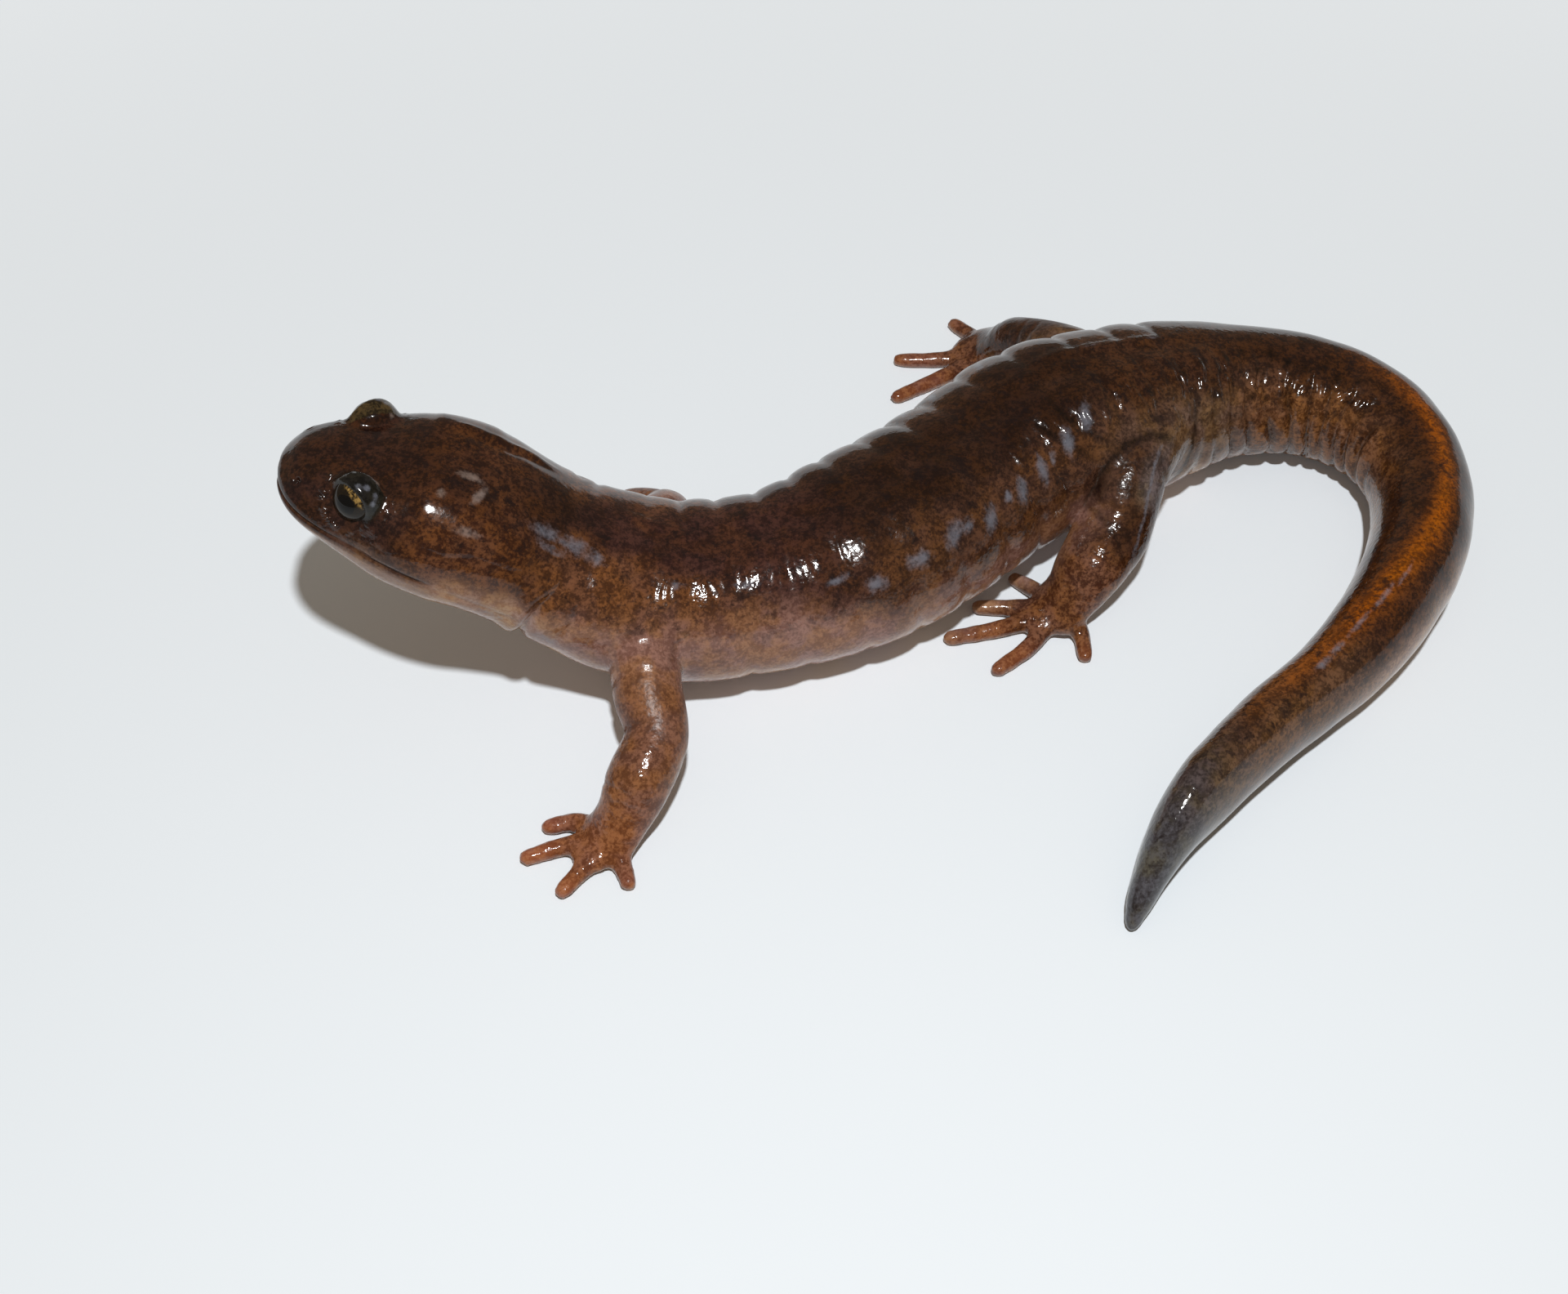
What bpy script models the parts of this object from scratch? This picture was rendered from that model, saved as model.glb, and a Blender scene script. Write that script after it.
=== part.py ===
# Tago salamander, a still model at life size.
# Shapes are worked out in millimetres and turned into metres when a node is finished.
import math

import bmesh
import bpy
import numpy as np
from mathutils import Matrix, Vector

MM = 0.001
GAP = 0.3                 # clearance between nodes that touch
FLOOR_SIZE = 200.0
FLOOR_DEPTH = 10.0
SINK = 0.15               # how far belly and soles reach below the floor plane before the flats are cut

SNOUT_X = -36.4           # plan position of the snout tip
SNOUT_Y = -3.75
PLACE_X = -0.15           # moves the finished model so that its bounding box is centred on the origin
PLACE_Y = -0.38
SPINE_STEP = 0.25
REST_FROM = 40.0          # behind this distance the underside rests on the floor everywhere
STEEPEST = 0.2            # lower limit that keeps the square root of the spine's level share real

# The course of the spine: distance from the snout, heading towards the tail in degrees (0 is +X),
# height of the axis (None where the underside rests on the floor) and roll of the section in degrees.
COURSE = (
    (0.0, -2.0, 15.8, 3.5),
    (6.0, -2.0, 13.8, 3.5),
    (12.0, -5.0, 11.7, 3.0),
    (17.0, -3.0, 8.8, 1.5),
    (23.0, 3.5, 5.9, 0.0),
    (30.0, 15.2, 5.1, 0.0),
    (38.0, 33.7, None, 0.0),
    (46.0, 42.5, None, 0.0),
    (54.0, 26.5, None, 0.0),
    (61.0, 25.0, None, 0.0),
    (67.5, 4.7, None, 0.0),
    (74.5, -33.0, None, 0.0),
    (81.5, -84.5, None, 0.0),
    (88.0, -112.0, None, 0.0),
    (95.0, -127.0, None, 0.0),
    (102.0, -139.0, None, 0.0),
    (108.0, -136.0, None, 0.0),
    (114.0, -129.0, None, 0.0),
    (121.8, -110.0, None, 0.0),
)

# The sections along the spine: distance, half width, height above and depth below the axis, and the
# powers that square the outline above and below (1 is an ellipse, less is fuller).
SHAPE = (
    (0.0, 0.0, 0.4, -0.4, 1.0, 0.85),
    (0.4, 1.8, 1.15, 0.75, 1.0, 0.85),
    (1.0, 2.75, 1.8, 1.2, 1.0, 0.85),
    (2.0, 3.6, 2.37, 1.75, 1.0, 0.85),
    (3.0, 4.12, 2.73, 2.15, 1.0, 0.85),
    (4.4, 4.7, 3.08, 2.8, 0.98, 0.85),
    (6.0, 5.3, 3.5, 3.4, 0.93, 0.85),
    (8.0, 5.9, 3.97, 3.8, 0.9, 0.86),
    (10.0, 6.1, 4.1, 4.0, 0.9, 0.88),
    (12.0, 5.95, 4.0, 4.1, 0.92, 0.9),
    (14.5, 5.7, 3.95, 4.15, 0.95, 0.93),
    (17.0, 5.7, 4.05, 4.1, 0.96, 0.95),
    (23.0, 6.0, 4.8, 4.8, 0.95, 0.95),
    (30.0, 5.75, 4.95, 4.95, 0.95, 0.95),
    (38.0, 6.35, 5.45, 5.45, 0.95, 0.95),
    (46.0, 6.2, 5.3, 5.3, 0.95, 0.95),
    (54.0, 6.45, 5.55, 5.55, 0.95, 0.95),
    (61.0, 5.55, 5.0, 5.0, 0.97, 0.97),
    (67.5, 4.45, 4.25, 4.25, 1.0, 1.0),
    (74.5, 3.87, 3.94, 3.94, 1.0, 1.0),
    (81.5, 3.25, 3.7, 3.7, 1.0, 1.0),
    (88.0, 3.05, 3.83, 3.83, 1.0, 1.0),
    (95.0, 2.7, 3.7, 3.7, 1.0, 1.0),
    (102.0, 2.2, 3.28, 3.28, 1.0, 1.0),
    (108.0, 2.0, 3.25, 3.25, 1.0, 1.0),
    (114.0, 1.75, 3.15, 3.15, 1.0, 1.0),
    (118.6, 1.25, 2.25, 2.25, 1.0, 1.0),
    (121.8, 0.0, 0.0, 0.0, 1.0, 1.0),
)
TAIL_END = 121.8

# Where the body is parted: name, start, end, points around, spacing of the rings.
LENGTHS = (
    ("neck", 13.4, 20.0, 32, 1.1),
    ("torso_front", 20.0, 35.0, 32, 1.5),
    ("torso_middle", 35.0, 50.0, 32, 1.5),
    ("torso_rear", 50.0, 65.0, 32, 1.5),
    ("tail_base", 65.0, 78.0, 28, 1.3),
    ("tail_middle", 78.0, 93.0, 28, 1.35),
    ("tail_rear", 93.0, 107.0, 24, 1.5),
    ("tail_tip", 107.0, TAIL_END, 24, 1.25),
)
HEAD_END = 13.4
HEAD_AROUND = 40
HEAD_STEP = 0.61
SNOUT_RINGS = (0.12, 0.32)   # close rings that round the tip of the snout
TRUNK_AROUND = 32
TRUNK_STEP = 1.5
FRONT_TRUNK = (17.0, 32.0)   # lengths of the body that cut the roots of the limbs
REAR_TRUNK = (47.0, 71.0)

# Costal grooves on the flanks and the shallow groove along the back.
COSTAL_FIRST = 26.0
COSTAL_LAST = 62.0
COSTAL_PITCH = 3.0
COSTAL_DEPTH = 0.17
COSTAL_HALF_WIDTH = 0.45
BACK_GROOVE_START = 21.0
BACK_GROOVE_END = 66.0
BACK_GROOVE_DEPTH = 0.15
BACK_GROOVE_DEGREES = 9.0

EYE_RADIUS = 1.33
EYE_GAP = 0.26
EYE_AT = 4.6              # behind the snout tip
EYE_OUT = 3.12            # from the midline
EYE_UP = 2.1              # above the line of the mouth
LID_RADIUS = 1.8          # outside of the lids
LID_OPENING = 1.45        # radius of the opening between the lids
LID_CUT_FROM = 0.2        # where the opening starts, out from the eye's centre
LID_CUT_DEPTH = 2.5
GAZE = (0.9, 0.25, 0.25)  # direction of the eye's axis: outward, forward, upward
MOUTH_END = 9.8           # corner of the mouth behind the snout tip
LIP_RADIUS = 0.55
LIP_OUT = 0.12
MOUTH_RADIUS = 0.17
MOUTH_POINTS = 41
MOUTH_DROP = 0.12         # how far the corner of the mouth lies below the line from the snout
MOUTH_THIN = 0.35         # share of the thickness that is left at the corners
MOUTH_BURY = 0.15         # share of the radius by which the corners sink into the skin
MOUTH_AROUND = 5
LIP_AROUND = 8
MOUTH_STEP = 0.9
NOSTRIL_AT = 1.2
NOSTRIL_ANGLE = 47.0
NOSTRIL_RADIUS = 0.2
GULAR_AT = 16.6
GULAR_RADIUS = 0.28
GULAR_ANGLES = (345.0, 195.0, 16)   # first and last angle of the fold under the throat, and its points
FOLD_AROUND = 6
FOLD_STEP = 0.6
FOLD_THINNING = 0.7

# Limbs: positions of the bone line with half width and half height, from the root to the knuckles.
LEFT_ARM = (
    (-15.9, -7.0, 5.8, 2.3, 2.3),
    (-15.7, -9.8, 5.8, 2.15, 2.15),
    (-15.5, -11.9, 5.2, 2.05, 2.05),
    (-14.9, -14.3, 4.3, 1.88, 1.9),
    (-15.9, -17.0, 2.8, 1.88, 1.7),
    (-17.0, -18.6, 1.5, 1.7, 1.25),
    (-17.9, -19.5, 0.73, 1.8, 0.85),
    (-18.5, -20.1, 0.58, 1.3, 0.65),
)
LEFT_FINGERS = (
    ((-18.0, -18.6, 0.58), (-19.7, -17.9, 0.38), (-21.2, -18.2, 0.28)),
    ((-18.2, -19.3, 0.58), (-20.3, -19.6, 0.38), (-22.3, -20.3, 0.28)),
    ((-18.1, -19.9, 0.58), (-19.1, -21.2, 0.38), (-20.1, -22.5, 0.28)),
    ((-17.4, -19.6, 0.58), (-16.8, -20.9, 0.38), (-16.4, -22.0, 0.28)),
)
RIGHT_ARM = (
    (-15.9, -1.6, 5.8, 2.2, 2.3),
    (-15.5, 0.6, 5.5, 1.95, 2.0),
    (-15.0, 2.0, 4.9, 1.75, 1.8),
    (-15.4, 3.1, 3.9, 1.6, 1.6),
    (-17.2, 4.4, 2.7, 1.7, 1.55),
    (-18.7, 5.1, 1.5, 1.5, 1.2),
    (-19.7, 5.6, 0.73, 1.7, 0.85),
    (-20.4, 5.9, 0.58, 1.3, 0.65),
)
RIGHT_FINGERS = (
    ((-19.8, 4.6, 0.58), (-21.2, 3.7, 0.38), (-22.5, 3.4, 0.28)),
    ((-20.1, 5.4, 0.58), (-22.2, 5.2, 0.38), (-24.1, 5.4, 0.28)),
    ((-20.1, 6.0, 0.58), (-21.8, 6.8, 0.38), (-23.2, 7.6, 0.28)),
    ((-19.5, 6.2, 0.58), (-19.8, 7.4, 0.38), (-20.1, 8.2, 0.28)),
)
LEFT_LEG = (
    (17.6, 10.2, 4.9, 2.5, 2.6),
    (16.0, 7.3, 5.1, 2.5, 2.6),
    (14.4, 4.4, 5.0, 2.4, 2.4),
    (13.0, 1.3, 4.2, 2.1, 2.1),
    (11.5, -0.9, 2.5, 2.0, 1.8),
    (10.5, -1.8, 1.5, 1.9, 1.3),
    (9.5, -2.3, 0.83, 2.0, 0.95),
    (8.8, -2.6, 0.68, 1.5, 0.75),
)
LEFT_TOES = (
    ((9.2, -1.0, 0.58), (8.3, 0.0, 0.43), (7.4, 0.7, 0.33)),
    ((8.9, -1.8, 0.58), (6.8, -1.7, 0.43), (4.9, -1.6, 0.33)),
    ((8.9, -2.5, 0.58), (6.1, -3.4, 0.38), (3.0, -4.1, 0.3)),
    ((9.4, -2.7, 0.58), (7.9, -4.8, 0.38), (5.8, -6.6, 0.3)),
    ((10.7, -2.3, 0.58), (11.2, -3.9, 0.38), (11.3, -5.5, 0.3)),
)
RIGHT_LEG = (
    (15.0, 14.0, 4.6, 2.3, 2.4),
    (12.9, 15.9, 4.6, 2.3, 2.3),
    (11.2, 17.5, 4.3, 2.2, 2.15),
    (10.0, 19.0, 3.6, 1.9, 1.95),
    (8.5, 20.5, 2.5, 1.8, 1.75),
    (7.5, 21.3, 1.5, 1.75, 1.3),
    (6.4, 21.6, 0.83, 1.9, 0.95),
    (5.8, 21.5, 0.68, 1.5, 0.75),
)
RIGHT_TOES = (
    ((6.8, 22.2, 0.58), (5.7, 23.8, 0.38), (4.8, 24.8, 0.3)),
    ((6.1, 21.5, 0.58), (3.5, 21.1, 0.38), (0.7, 21.1, 0.3)),
    ((6.2, 20.8, 0.58), (3.3, 19.1, 0.38), (0.4, 17.4, 0.3)),
    ((6.9, 20.3, 0.58), (5.2, 17.9, 0.38), (4.0, 16.2, 0.3)),
    ((7.6, 20.3, 0.58), (7.2, 18.8, 0.38), (6.7, 17.9, 0.3)),
)
DIGIT_RADII = (0.58, 0.52, 0.42)
LIMB_AROUND = 16
DIGIT_AROUND = 8
LIMB_STEP = 0.9
DIGIT_STEP = 0.75
DIGIT_FLATNESS = 0.92
WRIST_STATION = 5         # the joint at which a limb is parted into limb and hand or foot

COLOURS = {
    "head": (0.090, 0.036, 0.018),
    "back": (0.085, 0.038, 0.020),
    "tail": (0.080, 0.038, 0.018),
    "limb": (0.190, 0.070, 0.032),
    "hand": (0.240, 0.090, 0.045),
    "eye": (0.010, 0.009, 0.008),
}
SMOOTH_ANGLE = 40.0
SKIN_ROUGHNESS = 0.28
EYE_ROUGHNESS = 0.06


def smooth(keys, values, at):
    """Smooth curve through the values at the keys."""
    keys = np.asarray(keys, float)
    values = np.asarray(values, float)
    slopes = np.gradient(values, keys)
    i = np.clip(np.searchsorted(keys, at, side="right") - 1, 0, len(keys) - 2)
    span = keys[i + 1] - keys[i]
    t = (at - keys[i]) / span
    start = (2 * t**3 - 3 * t**2 + 1) * values[i] + (t**3 - 2 * t**2 + t) * span * slopes[i]
    end = (3 * t**2 - 2 * t**3) * values[i + 1] + (t**3 - t**2) * span * slopes[i + 1]
    return start + end


def shape_at(distance):
    """Half width, height above the axis, depth below it and both powers; the root makes a blunt snout."""
    keys = [math.sqrt(row[0]) for row in SHAPE]
    at = np.sqrt(np.asarray(distance, float))
    return [smooth(keys, [row[k] for row in SHAPE], at) for k in range(1, 6)]


def make_spine():
    """Points of the spine every SPINE_STEP with the tangent towards the tail."""
    along = np.arange(0.0, TAIL_END + SPINE_STEP / 2, SPINE_STEP)
    keys = [row[0] for row in COURSE]
    rest = [shape_at(row[0])[2] - SINK if row[2] is None else row[2] for row in COURSE]
    heading = np.radians(smooth(keys, [row[1] for row in COURSE], along))
    height = smooth(keys, rest, along)
    resting = along > REST_FROM
    height[resting] = shape_at(along[resting])[2] - SINK
    slope = np.gradient(height, along)
    level = np.sqrt(np.clip(1 - slope**2, STEEPEST, 1))
    x = SNOUT_X + np.concatenate(([0], np.cumsum((np.cos(heading) * level)[:-1] * SPINE_STEP)))
    y = SNOUT_Y + np.concatenate(([0], np.cumsum((np.sin(heading) * level)[:-1] * SPINE_STEP)))
    roll = np.radians(smooth(keys, [row[3] for row in COURSE], along))
    return along, np.stack([x, y, height], axis=1), roll


ALONG, SPINE, ROLL = make_spine()
TANGENT = np.gradient(SPINE, ALONG, axis=0)


def frame_at(distance):
    """Centre, tangent, left and up directions of the section at a distance from the snout."""
    centre = Vector([np.interp(distance, ALONG, SPINE[:, k]) for k in range(3)])
    tangent = Vector([np.interp(distance, ALONG, TANGENT[:, k]) for k in range(3)]).normalized()
    left = tangent.cross(Vector((0, 0, 1))).normalized()
    up = left.cross(tangent)
    roll = float(np.interp(distance, ALONG, ROLL))
    c = math.cos(roll)
    s = math.sin(roll)
    return centre, tangent, left * c + up * s, up * c - left * s


def relief(distance, angle):
    """How far the skin stands out of its smooth form: costal grooves and the groove of the back."""
    nearest = COSTAL_FIRST + COSTAL_PITCH * round((distance - COSTAL_FIRST) / COSTAL_PITCH)
    nearest = min(max(nearest, COSTAL_FIRST), COSTAL_LAST)
    flank = abs(math.cos(math.radians(angle))) ** 0.7
    depth = COSTAL_DEPTH * flank * math.exp(-(((distance - nearest) / COSTAL_HALF_WIDTH) ** 2))
    if BACK_GROOVE_START < distance < BACK_GROOVE_END:
        depth += BACK_GROOVE_DEPTH * math.exp(-(((angle - 90) / BACK_GROOVE_DEGREES) ** 2))
    return -depth


def skin_point(distance, angle, grow=0.0):
    """Point of the skin; angle 0 is the left side, 90 the back, 270 the belly."""
    grow += relief(distance, angle)
    centre, _, left, up = frame_at(distance)
    width, above, below, power_above, power_below = [float(v) for v in shape_at(distance)]
    c = math.cos(math.radians(angle))
    s = math.sin(math.radians(angle))
    height, power = (above, power_above) if s >= 0 else (below, power_below)
    across = (width + grow) * math.copysign(abs(c) ** power, c)
    rise = (height + grow) * math.copysign(abs(s) ** power, s)
    return centre + left * across + up * rise


def object_from(name, bm):
    bmesh.ops.recalc_face_normals(bm, faces=bm.faces)
    mesh = bpy.data.meshes.new(name)
    bm.to_mesh(mesh)
    bm.free()
    obj = bpy.data.objects.new(name, mesh)
    bpy.context.scene.collection.objects.link(obj)
    return obj


def loft(name, rings, start_pole=None, end_pole=None):
    """Closed skin over a row of rings, each end flat or drawn to a pole."""
    bm = bmesh.new()
    rows = [[bm.verts.new(point) for point in ring] for ring in rings]
    count = len(rows[0])
    for low, high in zip(rows, rows[1:]):
        for k in range(count):
            bm.faces.new((low[k], low[(k + 1) % count], high[(k + 1) % count], high[k]))
    for row, pole in ((rows[0], start_pole), (rows[-1], end_pole)):
        if pole is None:
            bm.faces.new(row)
        else:
            tip = bm.verts.new(pole)
            for k in range(count):
                bm.faces.new((row[k], row[(k + 1) % count], tip))
    return object_from(name, bm)


def body_rings(start, end, around, step, grow=0.0, trim=GAP / 2):
    """Rings of the body between two joints, drawn back from each joint by the trim."""
    count = max(2, round((end - start) / step) + 1)
    spots = np.clip(np.linspace(start, end, count), start + trim, end - trim)
    angles = [360.0 * k / around for k in range(around)]
    return [[skin_point(d, a, grow) for a in angles] for d in spots]


def tube(name, stations, around, step, round_end=True):
    """Tapered tube through stations of x, y, z, half width and half height."""
    rows = np.asarray(stations, float)
    keys = np.concatenate(([0], np.cumsum(np.linalg.norm(np.diff(rows[:, :3], axis=0), axis=1))))
    count = max(3, round(keys[-1] / step) + 1)
    at = np.linspace(0, keys[-1], count)
    path = np.stack([smooth(keys, rows[:, k], at) for k in range(5)], axis=1)
    tangents = np.gradient(path[:, :3], at, axis=0)
    spots = [(Vector(p[:3]), Vector(t).normalized(), p[3], p[4]) for p, t in zip(path, tangents)]
    end_pole = None
    if round_end:
        centre, tangent, width, height = spots[-1]
        for share in (0.5, 0.85):
            shrink = math.sqrt(1 - share**2)
            spots.append((centre + tangent * width * share, tangent, width * shrink, height * shrink))
        end_pole = centre + tangent * width
    rings = []
    for centre, tangent, width, height in spots:
        left = tangent.cross(Vector((0, 0, 1))).normalized()
        up = left.cross(tangent)
        angles = [2 * math.pi * k / around for k in range(around)]
        rings.append([centre + left * width * math.cos(a) + up * height * math.sin(a) for a in angles])
    return loft(name, rings, end_pole=end_pole)


def fold_tool(name, points, radius):
    """Thin round tool along a line of points that thins towards both ends, for a fold of the skin."""
    shares = np.linspace(-1, 1, len(points))
    stations = [(*p, *[radius * (1 - FOLD_THINNING * share**4)] * 2) for p, share in zip(points, shares)]
    return tube(name, stations, FOLD_AROUND, FOLD_STEP, round_end=False)


def ball(name, centre, radius, detail=3):
    bm = bmesh.new()
    bmesh.ops.create_icosphere(bm, subdivisions=detail, radius=radius, matrix=Matrix.Translation(centre))
    return object_from(name, bm)


def keep_largest(mesh):
    """Drop every closed surface but the largest."""
    bm = bmesh.new()
    bm.from_mesh(mesh)
    left_over = set(bm.verts)
    islands = []
    while left_over:
        island = {left_over.pop()}
        edge = list(island)
        while edge:
            for link in edge.pop().link_edges:
                for vert in link.verts:
                    if vert in left_over:
                        left_over.remove(vert)
                        island.add(vert)
                        edge.append(vert)
        islands.append(island)
    islands.sort(key=len)
    for island in islands[:-1]:
        bmesh.ops.delete(bm, geom=list(island), context="VERTS")
    bm.to_mesh(mesh)
    bm.free()


def combine(target, tools, operation):
    """Apply one Boolean of a collection of tools to the target and remove the tools."""
    pool = bpy.data.collections.new("pool")
    bpy.context.scene.collection.children.link(pool)
    for tool in tools:
        pool.objects.link(tool)
    boolean = target.modifiers.new(operation.lower(), "BOOLEAN")
    boolean.operation = operation
    boolean.operand_type = "COLLECTION"
    boolean.collection = pool
    boolean.solver = "EXACT"
    bpy.context.view_layer.update()
    evaluated = target.evaluated_get(bpy.context.evaluated_depsgraph_get())
    mesh = bpy.data.meshes.new_from_object(evaluated)
    target.modifiers.clear()
    target.data = mesh
    keep_largest(mesh)
    for tool in tools:
        bpy.data.objects.remove(tool)
    bpy.data.collections.remove(pool)
    return target


def floor_tool():
    """Block below the floor plane."""
    bm = bmesh.new()
    size = Matrix.Diagonal((FLOOR_SIZE, FLOOR_SIZE, FLOOR_DEPTH, 1))
    place = Matrix.Translation((0, 0, -FLOOR_DEPTH / 2)) @ size
    bmesh.ops.create_cube(bm, size=1.0, matrix=place)
    return object_from("floor_tool", bm)


def part_by_plane(source, name, point, normal):
    """Copy of the source that keeps the side of a plane that the normal points to."""
    bm = bmesh.new()
    bm.from_mesh(source.data)
    geometry = bm.verts[:] + bm.edges[:] + bm.faces[:]
    bmesh.ops.bisect_plane(bm, geom=geometry, dist=1e-5, plane_co=point, plane_no=normal, clear_inner=True)
    rim = [edge for edge in bm.edges if edge.is_boundary]
    bmesh.ops.holes_fill(bm, edges=rim, sides=0)
    part = object_from(name, bm)
    keep_largest(part.data)
    return part


def make_material(name, colour, roughness):
    material = bpy.data.materials.new(name)
    material.use_nodes = True
    shader = material.node_tree.nodes["Principled BSDF"]
    shader.inputs["Base Color"].default_value = (*colour, 1.0)
    shader.inputs["Roughness"].default_value = roughness
    shader.inputs["Metallic"].default_value = 0.0
    return material


def finish(obj, collection, colour, roughness=SKIN_ROUGHNESS):
    """Turn the node into metres, give it its material and put it in the model's collection."""
    obj.data.transform(Matrix.Scale(MM, 4) @ Matrix.Translation((PLACE_X, PLACE_Y, 0)))
    obj.data.shade_smooth()
    obj.data.set_sharp_from_angle(angle=math.radians(SMOOTH_ANGLE))
    obj.data.materials.clear()
    obj.data.materials.append(make_material(obj.name, COLOURS[colour], roughness))
    bpy.context.scene.collection.objects.unlink(obj)
    collection.objects.link(obj)


def disc_tool(name, base, axis, radius, depth):
    """Short cylinder that starts at the base and runs along the axis."""
    bm = bmesh.new()
    turn = axis.to_track_quat("Z", "Y").to_matrix().to_4x4()
    place = Matrix.Translation(base + axis * depth / 2) @ turn
    bmesh.ops.create_cone(
        bm, segments=24, radius1=radius, radius2=radius, depth=depth, cap_ends=True, matrix=place
    )
    return object_from(name, bm)


def mouth_line(radius, out):
    """Line of the mouth from the left corner round the snout to the right one, as stations of a tube
    that stands out of the skin by a distance and sinks and thins towards the corners."""
    roots = np.linspace(-math.sqrt(MOUTH_END), math.sqrt(MOUTH_END), MOUTH_POINTS)
    back = roots**2
    side = -np.sign(roots) * shape_at(back)[0]
    slope_back = np.gradient(back)
    slope_side = np.gradient(side)
    size = np.hypot(slope_back, slope_side)
    fade = np.clip(1 - (back / MOUTH_END) ** 6, 0.0, 1.0)
    thick = radius * (MOUTH_THIN + (1 - MOUTH_THIN) * fade)
    inset = thick - out * fade + MOUTH_BURY * radius * (1 - fade)
    stations = []
    for k, turn in enumerate(size):
        d = max(back[k] - slope_side[k] / turn * inset[k], 0.0)
        across = side[k] + slope_back[k] / turn * inset[k]
        centre, _, left, up = frame_at(d)
        point = centre + left * across - up * MOUTH_DROP * (d / MOUTH_END) ** 2
        stations.append((*point, thick[k], thick[k]))
    return stations


def make_head():
    rings = body_rings(0.0, HEAD_END, HEAD_AROUND, HEAD_STEP)
    angles = [360.0 * k / HEAD_AROUND for k in range(HEAD_AROUND)]
    tip = [[skin_point(d, a) for a in angles] for d in SNOUT_RINGS]
    head = loft("head", tip + rings[1:], start_pole=skin_point(0.0, 90))
    eyes = []
    lips = mouth_line(LIP_RADIUS, LIP_OUT)
    mouth = mouth_line(MOUTH_RADIUS, MOUTH_RADIUS)
    raised = [tube("lips", lips, LIP_AROUND, MOUTH_STEP, round_end=False)]
    cut = [tube("mouth", mouth, MOUTH_AROUND, MOUTH_STEP, round_end=False)]
    centre, tangent, left, up = frame_at(EYE_AT)
    outward, forward, upward = GAZE
    for name, side in (("left_eye", 1), ("right_eye", -1)):
        spot = centre + left * EYE_OUT * side + up * EYE_UP
        gaze = (left * side * outward - tangent * forward + up * upward).normalized()
        eyes.append(ball(name, spot, EYE_RADIUS))
        raised.append(ball(name + "_lids", spot, LID_RADIUS))
        cut.append(ball(name + "_socket", spot, EYE_RADIUS + EYE_GAP))
        base = spot + gaze * LID_CUT_FROM
        cut.append(disc_tool(name + "_opening", base, gaze, LID_OPENING, LID_CUT_DEPTH))
        pit = skin_point(NOSTRIL_AT, 90 - side * NOSTRIL_ANGLE)
        cut.append(ball(name + "_nostril", pit, NOSTRIL_RADIUS, detail=2))
    combine(head, raised, "UNION")
    combine(head, cut, "DIFFERENCE")
    return head, eyes


def make_length(name, start, end, around, step):
    rings = body_rings(start, end, around, step)
    pole = None
    if end == TAIL_END:
        pole = skin_point(TAIL_END, 0)
    length = loft(name, rings, end_pole=pole)
    if name == "neck":
        fold = [skin_point(GULAR_AT, angle) for angle in np.linspace(*GULAR_ANGLES)]
        combine(length, [fold_tool("gular_fold", fold, GULAR_RADIUS)], "DIFFERENCE")
    return combine(length, [floor_tool()], "DIFFERENCE")


def trunk_tool(start, end):
    """The trunk grown by the gap, which cuts a limb's root."""
    return loft("trunk_tool", body_rings(start, end, TRUNK_AROUND, TRUNK_STEP, grow=GAP, trim=0.0))


def make_limb(names, stations, digits, trunk):
    """Limb with its digits in one surface, parted at the wrist or ankle."""
    limb = tube("limb", stations, LIMB_AROUND, LIMB_STEP)
    rays = []
    for points in digits:
        rows = [(*p, radius, radius * DIGIT_FLATNESS) for p, radius in zip(points, DIGIT_RADII)]
        rays.append(tube("digit", rows, DIGIT_AROUND, DIGIT_STEP))
    combine(limb, rays, "UNION")
    combine(limb, [trunk_tool(*trunk)], "DIFFERENCE")
    combine(limb, [floor_tool()], "DIFFERENCE")
    joint = Vector(stations[WRIST_STATION][:3])
    axis = (joint - Vector(stations[WRIST_STATION - 1][:3])).normalized()
    upper = part_by_plane(limb, names[0], joint - axis * GAP / 2, -axis)
    lower = part_by_plane(limb, names[1], joint + axis * GAP / 2, axis)
    bpy.data.objects.remove(limb)
    return upper, lower


def main():
    for obj in list(bpy.data.objects):
        bpy.data.objects.remove(obj, do_unlink=True)
    model = bpy.data.collections.new("tago_salamander")
    bpy.context.scene.collection.children.link(model)

    head, eyes = make_head()
    finish(head, model, "head")
    for eye in eyes:
        finish(eye, model, "eye", EYE_ROUGHNESS)

    for name, start, end, around, step in LENGTHS:
        finish(make_length(name, start, end, around, step), model, "tail" if "tail" in name else "back")

    for names, stations, digits, trunk in (
        (("left_arm", "left_hand"), LEFT_ARM, LEFT_FINGERS, FRONT_TRUNK),
        (("right_arm", "right_hand"), RIGHT_ARM, RIGHT_FINGERS, FRONT_TRUNK),
        (("left_leg", "left_foot"), LEFT_LEG, LEFT_TOES, REAR_TRUNK),
        (("right_leg", "right_foot"), RIGHT_LEG, RIGHT_TOES, REAR_TRUNK),
    ):
        upper, lower = make_limb(names, stations, digits, trunk)
        finish(upper, model, "limb")
        finish(lower, model, "hand")


main()
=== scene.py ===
import math

import bmesh
import bpy
import numpy as np
from mathutils import Matrix, Vector, noise
from mathutils.kdtree import KDTree


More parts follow.
